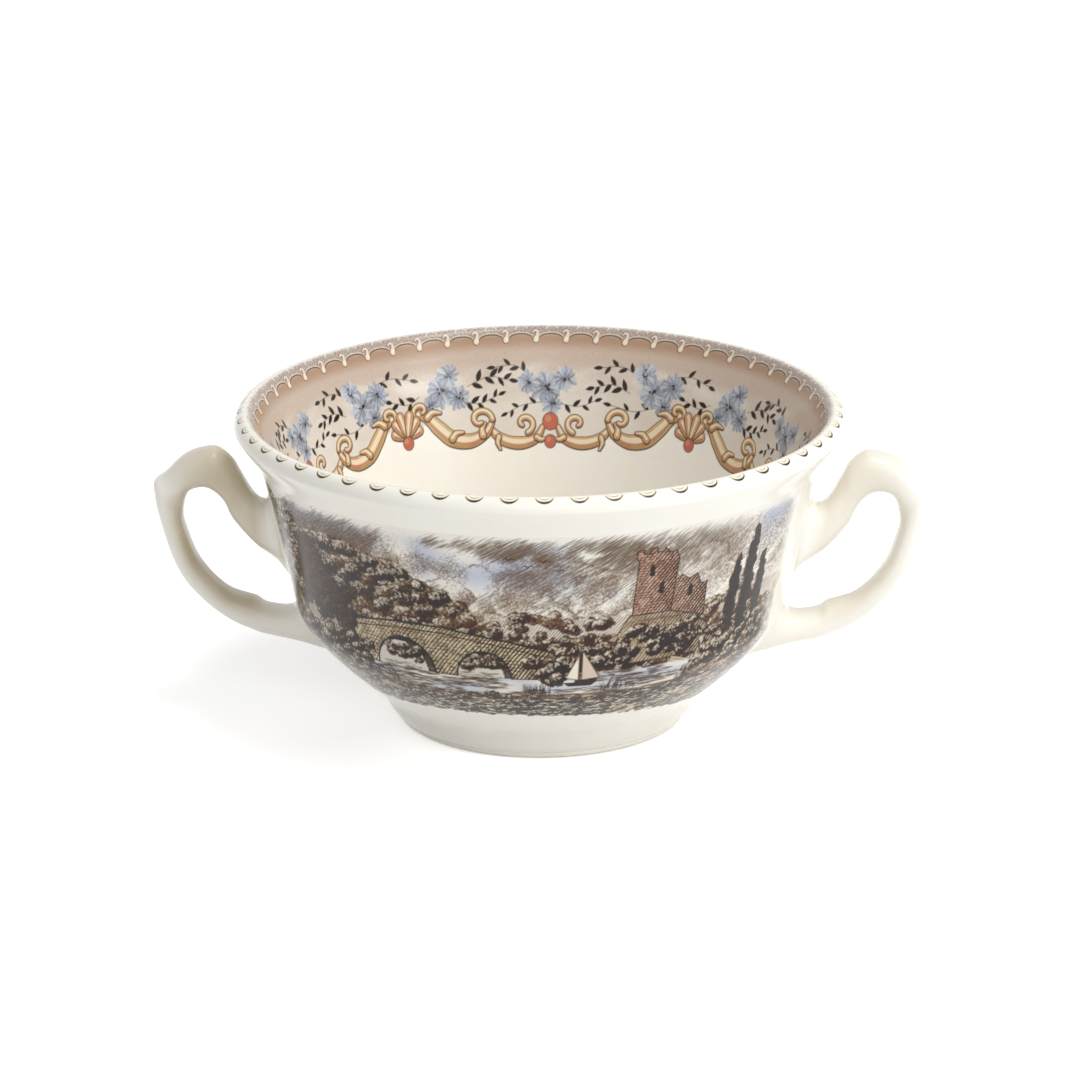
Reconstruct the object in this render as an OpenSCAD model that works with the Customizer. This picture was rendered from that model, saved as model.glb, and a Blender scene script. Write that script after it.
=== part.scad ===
// Two-handled earthenware soup bowl. Millimetres, +Z up, origin at the middle of the foot's resting face.
// The bowl is turned about Z and its two loop handles lie along X.

/* [Bowl] */
// Outside diameter of the lip at its widest
rim_d = 120; // [112:1:132]
// Height from the table to the top of the lip
bowl_h = 63; // [58:1:72]
// Outside diameter at the neck, just under the flared lip
neck_d = 109.4; // [105:0.2:112]
// Drop from the top of the lip down to the neck
neck_drop = 11.6; // [9:0.2:14]
// Outside diameter of the belly, where the wall starts to turn in
belly_d = 97.6; // [92:0.2:102]
// Height of the belly above the table
belly_z = 25; // [22:0.5:30]
// Thickness of the side wall
wall_t = 3.8; // [3:0.1:5]
// Thickness of the lip, across its rounded edge
lip_t = 4.4; // [3.6:0.1:5.5]
// Thickness of the floor
floor_t = 4.4; // [3:0.1:6]

/* [Foot] */
// Outside diameter of the foot where it meets the body
foot_top_d = 64.8; // [58:0.2:70]
// Outside diameter of the foot where it stands on the table
foot_d = 57.6; // [52:0.2:61]
// Height of the foot ring
foot_h = 6.6; // [5.8:0.1:8]
// Width of the ring at the table, with its rounded edges
foot_ring_w = 4.4; // [3.4:0.1:6]
// Radius of the rounded edges of the ring
foot_edge_r = 1.3; // [0.5:0.1:1.6]
// Depth of the recess under the bowl, inside the foot ring
recess_h = 4.6; // [3.6:0.1:5.6]

/* [Handles] */
// How far a handle stands out from the wall at the neck, to its tip
handle_reach = 21.8; // [17:0.2:27]
// Width of a handle across its grip
handle_w = 8.4; // [7:0.1:11]
// Width of a handle's upper end where it meets the wall
upper_root_w = 14; // [11:0.5:18]
// Width of a handle's lower end where it meets the wall
lower_root_w = 11.5; // [9:0.5:15]
// Thickness of the slip that joins a handle to the wall
slip_t = 0.4; // [0.2:0.05:0.8]
// Width of the bead of slip that shows round a handle's end
slip_bead = 0.7; // [0.3:0.1:1.2]

/* [Prints] */
// Thickness of a fired transfer print
print_t = 0.15; // [0.1:0.01:0.25]
// Height of the lower edge of the outside scene
scene_low_z = 9; // [8:0.5:16]
// Drop from the top of the lip down to the upper edge of the outside scene
scene_drop = 10; // [8:0.5:16]
// How far round the bowl each scene goes, in degrees
scene_turn = 140; // [120:4:144]
// Drop from the top of the lip down to where the border inside the bowl starts
border_high_drop = 4.6; // [3.4:0.2:7]
// Drop from the top of the lip down to the lower edge of the border inside
border_low_drop = 24.5; // [18:0.5:30]
// How far the lip's print comes down the outside of the lip, from the top
edge_drop = 1.9; // [1:0.1:2.4]

/* [Hidden] */

cream = [0.93, 0.91, 0.84];
slip_cream = [0.90, 0.87, 0.78];
scene_ink = [0.45, 0.39, 0.35];
border_ink = [0.80, 0.70, 0.63];
edge_ink = [0.70, 0.60, 0.54];

// Gap that keeps a faceted face off the turned wall
seat_gap = 0.02;
// Gap under a print that goes only part of the way round, so that the two curved faces stay apart
print_gap = 0.05;
// Fineness of the turned shapes, and steps along each curved stretch of their outline
$fn = 180;
curve_steps = 12;
// Points round a handle's section, steps between two rows of its table, and rings across its end face
ring_points = 28;
row_steps = 4;
end_rings = 4;

rim_r = rim_d / 2;
neck_r = neck_d / 2;
belly_r = belly_d / 2;
foot_r = foot_d / 2;
foot_top_r = foot_top_d / 2;
neck_z = bowl_h - neck_drop;
scene_high_z = bowl_h - scene_drop;
border_high_z = bowl_h - border_high_drop;
border_low_z = bowl_h - border_low_drop;
recess_lean_share = 0.85;
recess_top_r = foot_r - foot_ring_w * recess_lean_share;
floor_z = recess_h + floor_t;
tip_r = neck_r + handle_reach;

// Curves: a cubic through four control points, and a smooth curve through the rows of a table.
function mix(a, b, t) = a + (b - a) * t;
function bezier_at(p, t) = pow(1 - t, 3) * p[0] + 3 * pow(1 - t, 2) * t * p[1]
    + 3 * (1 - t) * t * t * p[2] + pow(t, 3) * p[3];
function bezier(p, steps) = [for (i = [0:steps - 1]) bezier_at(p, i / steps)];
function spline_at(a, b, c, d, t) = 0.5 * (2 * b + (c - a) * t
    + (2 * a - 5 * b + 4 * c - d) * t * t + (3 * b - a - 3 * c + d) * t * t * t);
function between(a, b, shares) = [mix(a[0], b[0], shares[0]), mix(a[1], b[1], shares[1])];
function row_at(rows, i) = rows[max(0, min(len(rows) - 1, i))];
function smooth_rows(rows, steps) = [
    for (i = [0:len(rows) - 2], k = [0:steps - 1])
        spline_at(row_at(rows, i - 1), rows[i], rows[i + 1], row_at(rows, i + 2), k / steps),
    rows[len(rows) - 1]
];

// Outer outline of the wall, from the foot up to the widest part of the lip, as [radius, height].
// At each corner the wall leans by an angle from level, and a curve's control point lies along
// that lean, at a share of the way to the next corner.
foot_corner = [foot_top_r, foot_h];
belly = [belly_r, belly_z];
neck = [neck_r, neck_z];
lip_round_share = 0.62;
lip_out = [rim_r, bowl_h - lip_t * lip_round_share];
foot_lean = 41;
belly_lean = 79.5;
neck_lean = 76.4;
lip_lean = 61;
turn_in_share = 0.22;
belly_turn_share = 0.22;
side_share = 0.37;
flare_share = 0.39;
lip_share = 0.34;
function lean_way(lean) = [cos(lean), sin(lean)];
function ahead(from, to, lean, share) = from + norm(to - from) * share * lean_way(lean);
function behind(from, to, lean, share) = to - norm(to - from) * share * lean_way(lean);
function leaning(from, to, lean_a, lean_b, share_a, share_b) =
    bezier([from, ahead(from, to, lean_a, share_a), behind(from, to, lean_b, share_b), to], curve_steps);
outer_wall = concat(
    leaning(foot_corner, belly, foot_lean, belly_lean, turn_in_share, belly_turn_share),
    leaning(belly, neck, belly_lean, neck_lean, side_share, side_share),
    leaning(neck, lip_out, neck_lean, lip_lean, flare_share, lip_share));

// The rounded lip, from its widest point over the top and down to the inside of the mouth.
lip_top_share = 0.48;
lip_top = [rim_r - lip_t * lip_top_share, bowl_h];
lip_in_share = 0.45;
lip_in = [rim_r - lip_t, bowl_h - lip_t * lip_in_share];
round_share = 0.55;
lip_curve = concat(
    bezier([lip_out, [lip_out[0], mix(lip_out[1], lip_top[1], round_share)],
        [mix(lip_top[0], lip_out[0], round_share), lip_top[1]], lip_top], curve_steps),
    bezier([lip_top, [mix(lip_top[0], lip_in[0], round_share), lip_top[1]],
        ahead(lip_in, lip_top, lip_lean, lip_in_share), lip_in], curve_steps));

// Inner outline, from the mouth down to the edge of the flat floor.
neck_in = [neck_r - wall_t, neck_z];
belly_in = [belly_r - wall_t, belly_z + wall_t / 2];
floor_flat_share = 0.52;
floor_edge = [foot_top_r * floor_flat_share, floor_z];
floor_turn_share = 0.4;
inner_wall = concat(
    bezier([lip_in, behind(neck_in, lip_in, lip_lean, lip_share),
        ahead(neck_in, lip_in, neck_lean, flare_share), neck_in], curve_steps),
    bezier([neck_in, behind(belly_in, neck_in, neck_lean, side_share),
        ahead(belly_in, neck_in, belly_lean, side_share), belly_in], curve_steps),
    bezier([belly_in, behind(floor_edge, belly_in, belly_lean, floor_turn_share),
        ahead(floor_edge, belly_in, 0, floor_turn_share), floor_edge], curve_steps),
    [floor_edge]);

// Radius of the outer wall at a height.
wall_table = [for (p = concat(outer_wall, [lip_out])) [p[1], p[0]]];
function wall_r(z) = lookup(z, wall_table);

// Point of the wall at (y, z) on the +X side, a gap away from its surface.
function on_wall(y, z, gap) = [sqrt(pow(wall_r(z) + gap, 2) - y * y), y, z];

module bowl_body() {
    color(cream)
        rotate_extrude()
            polygon(concat([[0, recess_h], [recess_top_r, recess_h], [recess_top_r, foot_h]],
                outer_wall, lip_curve, inner_wall, [[0, floor_z]]));
}

// The foot ring: its outside leans in towards the table, and both edges that stand are rounded.
// The base of the bowl sits down inside it, so the recess is shallower than the ring is high.
foot_bulge_share = 0.42;
module foot_ring() {
    inner_r = foot_r - foot_ring_w;
    outer_low = [foot_r, foot_edge_r];
    side = bezier([outer_low,
        between(outer_low, foot_corner, [foot_bulge_share, 1 - 2 * foot_bulge_share]),
        between(outer_low, foot_corner, [1 - foot_bulge_share, 1 - foot_bulge_share]),
        foot_corner], curve_steps);
    outer_round = [for (a = [0:15:75])
        [foot_r - foot_edge_r + foot_edge_r * sin(a), foot_edge_r - foot_edge_r * cos(a)]];
    inner_round = [for (a = [0:15:90])
        [inner_r + foot_edge_r - foot_edge_r * cos(a), foot_edge_r - foot_edge_r * sin(a)]];
    color(cream)
        rotate_extrude()
            polygon(concat([[recess_top_r, foot_h], [recess_top_r, recess_h]],
                inner_round, outer_round, side, [foot_corner]));
}

// A handle, as rows of [outer reach, outer height, inner reach, inner height, width].
// A reach is a share of the way from the wall at that height out to the handle's tip, a height is a
// share of the bowl's, and a width is a share of the way from the grip's width to that end's width.
upper_shares = [
    [0.000, 0.720, 0.000, 0.450, 1.00],
    [0.050, 0.690, 0.040, 0.485, 0.62],
    [0.125, 0.695, 0.125, 0.520, 0.34],
    [0.155, 0.720, 0.230, 0.560, 0.15],
    [0.205, 0.780, 0.375, 0.645, 0.00],
];
loop_shares = [
    [0.240, 0.815, 0.405, 0.690],
    [0.330, 0.850, 0.465, 0.720],
    [0.450, 0.860, 0.560, 0.735],
    [0.700, 0.840, 0.685, 0.725],
    [0.895, 0.780, 0.735, 0.695],
    [0.975, 0.760, 0.750, 0.675],
    [1.000, 0.745, 0.760, 0.660],
    [0.995, 0.720, 0.765, 0.640],
    [0.975, 0.665, 0.760, 0.610],
    [0.885, 0.525, 0.700, 0.520],
    [0.800, 0.440, 0.630, 0.465],
    [0.705, 0.385, 0.545, 0.420],
];
lower_shares = [
    [0.600, 0.330, 0.460, 0.390, 0.00],
    [0.505, 0.290, 0.360, 0.375, 0.04],
    [0.430, 0.270, 0.295, 0.365, 0.10],
    [0.370, 0.255, 0.255, 0.345, 0.18],
    [0.210, 0.235, 0.130, 0.335, 0.50],
    [0.105, 0.210, 0.045, 0.350, 0.75],
    [0.000, 0.185, 0.000, 0.375, 1.00],
];
function reach(share, z) = mix(wall_r(z), tip_r, share);
function handle_row(row, width) =
    let (outer_z = row[1] * bowl_h, inner_z = row[3] * bowl_h)
    [reach(row[0], outer_z), outer_z, reach(row[2], inner_z), inner_z, width];
handle_rows = concat(
    [for (row = upper_shares) handle_row(row, mix(handle_w, upper_root_w, row[4]))],
    [for (row = loop_shares) handle_row(row, handle_w)],
    [for (row = lower_shares) handle_row(row, mix(handle_w, lower_root_w, row[4]))]);
upper_end = handle_rows[0];
lower_end = handle_rows[len(handle_rows) - 1];

// One section of the handle: a rounded shape between the outer point and the inner point.
round_power_share = 0.92;
function power(x) = sign(x) * pow(abs(x), round_power_share);
function rounded(a) = [power(cos(a)), power(sin(a))];
function ring_angle(k) = k * 360 / ring_points;
function section(row) = [for (k = [0:ring_points - 1])
    let (q = rounded(ring_angle(k)),
        x = (row[0] + row[2]) / 2 + q[0] * (row[0] - row[2]) / 2,
        z = (row[1] + row[3]) / 2 + q[0] * (row[1] - row[3]) / 2,
        y = q[1] * row[4] / 2,
        wall = on_wall(y, z, slip_t + seat_gap))
    [max(x, wall[0]), y, z]];

// The outline of a handle's end on the wall, grown by a bead and drawn in by a share towards its middle.
function end_outline(row, grow, share, gap) = [for (k = [0:ring_points - 1])
    let (q = rounded(ring_angle(k)), mid = (row[1] + row[3]) / 2,
        y = share * q[1] * (row[4] / 2 + grow),
        z = mid + share * q[0] * ((row[1] - row[3]) / 2 + grow))
    on_wall(y, z, gap)];
function end_face(row, grow, gap) = [for (i = [1:end_rings]) end_outline(row, grow, i / end_rings, gap)];
function backwards(list) = [for (i = [len(list) - 1:-1:0]) list[i]];

// A closed solid through a list of rings, with a middle point at each end.
module ring_solid(rings, first_mid, last_mid) {
    n = ring_points;
    last = len(rings) - 1;
    points = concat([first_mid, last_mid], [for (ring = rings, p = ring) p]);
    faces = concat(
        [for (k = [0:n - 1]) [0, 2 + k, 2 + (k + 1) % n]],
        [for (i = [0:last - 1], k = [0:n - 1])
            [2 + i * n + k, 2 + (i + 1) * n + k, 2 + (i + 1) * n + (k + 1) % n]],
        [for (i = [0:last - 1], k = [0:n - 1])
            [2 + i * n + k, 2 + (i + 1) * n + (k + 1) % n, 2 + i * n + (k + 1) % n]],
        [for (k = [0:n - 1]) [1, 2 + last * n + (k + 1) % n, 2 + last * n + k]]);
    polyhedron(points, faces, convexity = 6);
}

function end_mid(row, gap) = on_wall(0, (row[1] + row[3]) / 2, gap);

module handle() {
    rows = smooth_rows(handle_rows, row_steps);
    rings = concat(
        end_face(upper_end, 0, slip_t + seat_gap),
        [for (i = [1:len(rows) - 2]) section(rows[i])],
        backwards(end_face(lower_end, 0, slip_t + seat_gap)));
    color(cream)
        ring_solid(rings, end_mid(upper_end, slip_t + seat_gap), end_mid(lower_end, slip_t + seat_gap));
}

// The slip between a handle's end and the wall, squeezed out into a small bead round the end.
bead_high_share = 0.35;
module slip_joint(end) {
    rings = concat(
        end_face(end, slip_bead, seat_gap),
        [end_outline(end, slip_bead * bead_high_share, 1, mix(seat_gap, slip_t, 1 - bead_high_share))],
        backwards(end_face(end, 0, slip_t)));
    color(slip_cream)
        ring_solid(rings, end_mid(end, seat_gap), end_mid(end, slip_t));
}

// Part of an outline between two heights, cut exactly at both.
function cut_point(curve, i, z) = let (a = curve[i], b = curve[i + 1])
    mix(a, b, (z - a[1]) / (b[1] - a[1]));
function crosses(curve, i, z) =
    (curve[i][1] - z) * (curve[i + 1][1] - z) <= 0 && curve[i][1] != curve[i + 1][1];
function stretch(curve, low, high) = [
    for (i = [0:len(curve) - 2]) each concat(
        curve[i][1] > low && curve[i][1] < high ? [curve[i]] : [],
        crosses(curve, i, low) && curve[i][1] != low ? [cut_point(curve, i, low)] : [],
        crosses(curve, i, high) && curve[i][1] != high ? [cut_point(curve, i, high)] : [])
];
function side_normal(a, b) = let (d = b - a) [d[1], -d[0]] / norm(d);
function vertex_normal(curve, i) = let (last = len(curve) - 1,
    before = side_normal(curve[max(0, i - 1)], curve[max(1, i)]),
    after = side_normal(curve[min(last - 1, i)], curve[min(last, i + 1)]),
    sum = before + after) sum / norm(sum);
function lifted(curve, h) = [for (i = [0:len(curve) - 1]) curve[i] + h * vertex_normal(curve, i)];

// The section of a print: a thin film that follows a stretch of outline, a gap away from it.
function film(curve, gap) = concat(lifted(curve, gap), backwards(lifted(curve, gap + print_t)));

// A scene goes round between the two handles, with its middle where it faces.
module scene_print(facing) {
    curve = stretch(outer_wall, scene_low_z, scene_high_z);
    color(scene_ink)
        rotate([0, 0, facing - scene_turn / 2])
            rotate_extrude(angle = scene_turn)
                polygon(film(curve, print_gap));
}

module inner_border_print() {
    color(border_ink)
        rotate_extrude()
            polygon(film(stretch(inner_wall, border_low_z, border_high_z), 0));
}

// The print on the lip goes over the top, from the outside of the lip to the border inside.
module lip_edge_print() {
    outside = stretch(concat(outer_wall, lip_curve), bowl_h - edge_drop, bowl_h);
    inside = stretch(inner_wall, border_high_z, lip_in[1]);
    color(edge_ink)
        rotate_extrude()
            polygon(film(concat(outside, [lip_in], inside), 0));
}

module on_left() {
    mirror([1, 0, 0])
        children();
}

bowl_body();
foot_ring();
on_left() handle();  // left_handle
handle();  // right_handle
on_left() slip_joint(upper_end);  // left_upper_slip
on_left() slip_joint(lower_end);  // left_lower_slip
slip_joint(upper_end);  // right_upper_slip
slip_joint(lower_end);  // right_lower_slip
scene_print(-90);  // front_scene_print
scene_print(90);  // back_scene_print
inner_border_print();
lip_edge_print();
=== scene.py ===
# %% [markdown]
# # A two-handled soup bowl
# The bowl is cream earthenware under a clear glaze. Its wall was pressed in a turning mould, the two loop handles
# were cast apart and stuck on with slip, and thin paper transfers laid the printed pictures on it before the glaze.
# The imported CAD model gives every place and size. This script puts smooth glazed pieces where its plain solids are.

# %% Load the frame
import math
import bpy
import numpy as np
from mathutils import Matrix, Vector


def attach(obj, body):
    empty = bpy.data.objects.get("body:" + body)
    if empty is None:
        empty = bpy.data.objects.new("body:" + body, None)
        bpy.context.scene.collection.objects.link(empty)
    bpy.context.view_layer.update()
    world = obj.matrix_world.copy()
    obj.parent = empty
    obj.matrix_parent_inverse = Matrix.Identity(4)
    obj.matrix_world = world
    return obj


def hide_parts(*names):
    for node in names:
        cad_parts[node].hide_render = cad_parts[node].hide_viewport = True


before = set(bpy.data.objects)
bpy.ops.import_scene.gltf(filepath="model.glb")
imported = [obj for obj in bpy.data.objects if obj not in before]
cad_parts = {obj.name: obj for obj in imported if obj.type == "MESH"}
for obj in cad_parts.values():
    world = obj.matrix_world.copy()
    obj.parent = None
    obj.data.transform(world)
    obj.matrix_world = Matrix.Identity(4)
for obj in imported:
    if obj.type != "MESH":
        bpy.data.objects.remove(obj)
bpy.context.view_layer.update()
MM = 0.001

# %% [markdown]
# ## The camera
# A long lens from a little over a metre away flattens the ovals of the mouth and foot, as in a shop's product picture.
# It stands a few degrees to the right of straight on, so the right handle comes nearer, and looks down by 18.6 degrees.
# Its aim lies a little above the middle of the bowl, which puts the bowl a little below the middle of the picture.

# %% Camera
VIEW_TURN, VIEW_DROP, VIEW_ROLL = math.radians(2.5), math.radians(18.62), math.radians(-0.38)
DISTANCE, MIDDLE_Z, AIM_UP, AIM_LEFT = 1053.6, 31, 4.22, 0.14
LENS, SENSOR = 177.33, 36.0
middle = Vector((0, 0, MIDDLE_Z * MM))
towards_camera = Vector((math.sin(VIEW_TURN) * math.cos(VIEW_DROP),
                         -math.cos(VIEW_TURN) * math.cos(VIEW_DROP), math.sin(VIEW_DROP)))
view_right = Vector((math.cos(VIEW_TURN), math.sin(VIEW_TURN), 0))
view_up = towards_camera.cross(view_right)
aim = middle + view_up * AIM_UP * MM - view_right * AIM_LEFT * MM
camera = bpy.data.objects.new("camera", bpy.data.cameras.new("camera"))
bpy.context.scene.collection.objects.link(camera)
camera.data.lens, camera.data.sensor_width = LENS, SENSOR
camera.data.clip_start, camera.data.clip_end = 0.05, 20
camera.location = middle + towards_camera * (DISTANCE * MM)
look = (aim - camera.location).to_track_quat("-Z", "Y").to_matrix()
camera.rotation_euler = (look @ Matrix.Rotation(VIEW_ROLL, 3, "Z")).to_euler()
bpy.context.scene.camera = camera
print("camera at", [round(x, 3) for x in camera.location])

# %% [markdown]
# ## The outline of the bowl
# A turned pot is one outline spun about its axis. The outline here is a chain of smooth curves with the same corners
# as the CAD model, but with more steps, so no facet shows in the glaze. At each corner the wall leans by an angle from
# level, and a curve's handles lie along that lean, which keeps the chain free of kinks. Lengths are in millimetres.

# %% Curve helpers
CURVE_STEPS = 36


def curve_through(a, b, c, d, steps):
    t = (np.arange(steps) / steps)[:, None]
    return (1 - t) ** 3 * a + 3 * (1 - t) ** 2 * t * b + 3 * (1 - t) * t * t * c + t ** 3 * d


def way(lean):
    """A step of one millimetre at a lean in degrees from level."""
    return np.array([math.cos(math.radians(lean)), math.sin(math.radians(lean))])


def leaning(start, end, leans, shares):
    """A curve from start to end that leaves at the first lean and arrives at the second."""
    start, end = np.array(start, float), np.array(end, float)
    length = np.linalg.norm(end - start)
    return curve_through(start, start + length * shares[0] * way(leans[0]), end - length * shares[1] * way(leans[1]),
                         end, CURVE_STEPS)


# %% Outline of the wall, lip and floor
rim_r, bowl_h = 60.0, 63.0
neck_r, neck_z = 54.7, 51.4
belly_r, belly_z = 48.8, 25.0
foot_top_r, foot_r, foot_h = 32.4, 28.8, 6.6
wall_t, lip_t, floor_z, recess_h = 3.8, 4.4, 9.0, 4.6
foot_ring_w, foot_edge_r = 4.4, 1.3
recess_r = foot_r - foot_ring_w * 0.85
FOOT_LEAN, BELLY_LEAN, NECK_LEAN, LIP_LEAN = 41, 79.5, 76.4, 61
LOW_SHARES, SIDE_SHARES, FLARE_SHARES, FLOOR_SHARES = (0.22, 0.22), (0.37, 0.37), (0.39, 0.34), (0.4, 0.4)
ROUND = 0.55
lip_out = np.array([rim_r, bowl_h - lip_t * 0.62])
lip_top = np.array([rim_r - lip_t * 0.48, bowl_h])
lip_in = np.array([rim_r - lip_t, bowl_h - lip_t * 0.45])
outer_wall = np.vstack([
    leaning((foot_top_r, foot_h), (belly_r, belly_z), (FOOT_LEAN, BELLY_LEAN), LOW_SHARES),
    leaning((belly_r, belly_z), (neck_r, neck_z), (BELLY_LEAN, NECK_LEAN), SIDE_SHARES),
    leaning((neck_r, neck_z), lip_out, (NECK_LEAN, LIP_LEAN), FLARE_SHARES)])
lip_curve = np.vstack([
    curve_through(lip_out, np.array([rim_r, lip_out[1] + (bowl_h - lip_out[1]) * ROUND]),
                  np.array([lip_top[0] + (rim_r - lip_top[0]) * ROUND, bowl_h]), lip_top, 24),
    curve_through(lip_top, np.array([lip_top[0] + (lip_in[0] - lip_top[0]) * ROUND, bowl_h]),
                  lip_in + np.linalg.norm(lip_top - lip_in) * 0.45 * way(LIP_LEAN), lip_in, 24)])
neck_in, belly_in = (neck_r - wall_t, neck_z), (belly_r - wall_t, belly_z + wall_t / 2)
floor_edge = np.array([foot_top_r * 0.52, floor_z])
inner_wall = np.vstack([
    [lip_in],
    leaning(neck_in, lip_in, (NECK_LEAN, LIP_LEAN), FLARE_SHARES)[::-1],
    leaning(belly_in, neck_in, (BELLY_LEAN, NECK_LEAN), SIDE_SHARES)[::-1],
    leaning(floor_edge, belly_in, (0, BELLY_LEAN), FLOOR_SHARES)[::-1]])
print("outline points:", len(outer_wall) + len(lip_curve) + len(inner_wall))


def wall_r(z):
    """Radius of the outer wall at a height."""
    return np.interp(z, np.append(outer_wall[:, 1], lip_out[1]), np.append(outer_wall[:, 0], lip_out[0]))


# %% [markdown]
# ## Meshes from rows of points
# Every piece here is a net of four-sided cells: rings of points joined ring to ring. One helper builds such a net,
# joined up along or across where the piece closes on itself. Points are in millimetres and come out in metres.

# %% Net helper
def net(name, points, close_along=False, close_across=False, caps=(), flip=False):
    """A mesh from points[row, column]. caps are extra middle points for the first and last row."""
    rows, cols = points.shape[:2]
    r = np.arange(rows if close_along else rows - 1)[:, None]
    c = np.arange(cols if close_across else cols - 1)[None, :]
    r2, c2 = (r + 1) % rows, (c + 1) % cols
    quads = np.stack([r * cols + c, r * cols + c2, r2 * cols + c2, r2 * cols + c], -1).reshape(-1, 4)
    verts = points.reshape(-1, 3)
    fans = []
    for row, middle_point in zip((0, rows - 1), caps):
        verts = np.vstack([verts, [middle_point]])
        k = np.arange(cols)
        fan = np.stack([np.full(cols, len(verts) - 1), row * cols + (k + 1) % cols, row * cols + k], -1)
        fans.append(fan if row == 0 else fan[:, ::-1])
    if flip:
        quads, fans = quads[:, ::-1], [fan[:, ::-1] for fan in fans]
    corners = np.concatenate([quads.ravel()] + [fan.ravel() for fan in fans])
    sizes = np.concatenate([np.full(len(quads), 4)] + [np.full(len(fan), 3) for fan in fans])
    mesh = bpy.data.meshes.new(name)
    mesh.vertices.add(len(verts))
    mesh.vertices.foreach_set("co", (verts * MM).astype(np.float32).ravel())
    mesh.loops.add(len(corners))
    mesh.loops.foreach_set("vertex_index", corners.astype(np.int32))
    mesh.polygons.add(len(sizes))
    mesh.polygons.foreach_set("loop_start", np.concatenate([[0], np.cumsum(sizes)[:-1]]).astype(np.int32))
    mesh.polygons.foreach_set("use_smooth", np.ones(len(sizes), bool))
    mesh.update(calc_edges=True)
    mesh.validate()
    obj = bpy.data.objects.new(name, mesh)
    bpy.context.scene.collection.objects.link(obj)
    return obj


TURN_STEPS = 512


def turned(name, outline, **joins):
    """A net turned about the bowl's axis from an outline of [radius, height]."""
    a = np.arange(TURN_STEPS) * 2 * np.pi / TURN_STEPS
    outline = np.asarray(outline, float)
    points = np.stack([outline[:, :1] * np.cos(a), outline[:, :1] * np.sin(a),
                       np.repeat(outline[:, 1:], TURN_STEPS, axis=1)], -1)
    return net(name, points, close_across=True, **joins)


# %% [markdown]
# ## Glaze, as shared node groups
# Earthenware is soft and porous, so it is fired once as clay and again under a clear glaze. The glaze pools a little,
# lies in very gentle waves and carries a few specks of iron from the kiln. Each of these is a node group, built once
# and placed in every material, so the bowl, its handles and the blank parts of the prints match where they meet.

# %% Node helpers
def linear(r, g, b):
    """A colour as seen on screen, 0 to 255, as the shader wants it."""
    c = np.array([r, g, b], float) / 255
    return np.where(c <= 0.04045, c / 12.92, ((c + 0.055) / 1.055) ** 2.4)


def paint(r, g, b):
    """The same colour for a socket."""
    return (*linear(r, g, b), 1)


def feed(tree, socket, value):
    """Links a socket to what another node gives, or sets it to a plain value."""
    if isinstance(value, bpy.types.NodeSocket):
        tree.links.new(value, socket)
    else:
        socket.default_value = value


def add_node(tree, kind, inputs=None, **settings):
    node = tree.nodes.new(kind)
    for key, value in settings.items():
        setattr(node, key, value)
    for socket, value in (inputs or {}).items():
        feed(tree, node.inputs[socket], value)
    return node


def maths(tree, operation, *values):
    return add_node(tree, "ShaderNodeMath", dict(enumerate(values)), operation=operation).outputs[0]


def spread(tree, value, low, high, to_low=0.0, to_high=1.0):
    """A value stretched from one range to another, and held there."""
    inputs = {"Value": value, "From Min": low, "From Max": high, "To Min": to_low, "To Max": to_high}
    return add_node(tree, "ShaderNodeMapRange", inputs).outputs["Result"]


def mixed(tree, share, first, second):
    """Two colours mixed by a share."""
    return add_node(tree, "ShaderNodeMix", {0: share, 6: first, 7: second}, data_type="RGBA").outputs[2]


def on_object(tree):
    return add_node(tree, "ShaderNodeTexCoord").outputs["Object"]


def noise(tree, scale, detail, roughness=0.5):
    """Soft noise from 0 to 1 that is fixed to the object."""
    inputs = {"Vector": on_object(tree), "Scale": scale, "Detail": detail, "Roughness": roughness}
    return add_node(tree, "ShaderNodeTexNoise", inputs).outputs["Fac"]


# %% Group helpers
def socket_kind(is_number):
    return "NodeSocketFloat" if is_number else "NodeSocketColor"


def new_group(name, inputs):
    """A shared group with named inputs, each a number or a colour. Gives back its tree and what comes in."""
    tree = bpy.data.node_groups.new(name, "ShaderNodeTree")
    for socket, value in inputs.items():
        made = tree.interface.new_socket(socket, in_out="INPUT", socket_type=socket_kind(isinstance(value, float)))
        made.default_value = value
    return tree, tree.nodes.new("NodeGroupInput").outputs


def give_out(tree, **results):
    """The group's named outputs."""
    for socket, result in results.items():
        tree.interface.new_socket(socket, in_out="OUTPUT", socket_type=socket_kind(result.type == "VALUE"))
    end = tree.nodes.new("NodeGroupOutput")
    for socket, result in results.items():
        tree.links.new(result, end.inputs[socket])


# %% Clear glaze over cream clay
CLAY, POOLED, SLIP_POOLED, WHITE = paint(246, 243, 235), paint(241, 236, 223), paint(238, 231, 214), (1, 1, 1, 1)
glaze_tone, given = new_group("glaze_tone", {"Clay": CLAY, "Pooled": POOLED, "Patch Size": 34.0, "Amount": 0.5})
patches = spread(glaze_tone, noise(glaze_tone, given["Patch Size"], 3.0, 0.55), 0.35, 0.68)
share = maths(glaze_tone, "MULTIPLY", patches, given["Amount"])
give_out(glaze_tone, Color=mixed(glaze_tone, share, given["Clay"], given["Pooled"]))

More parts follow.
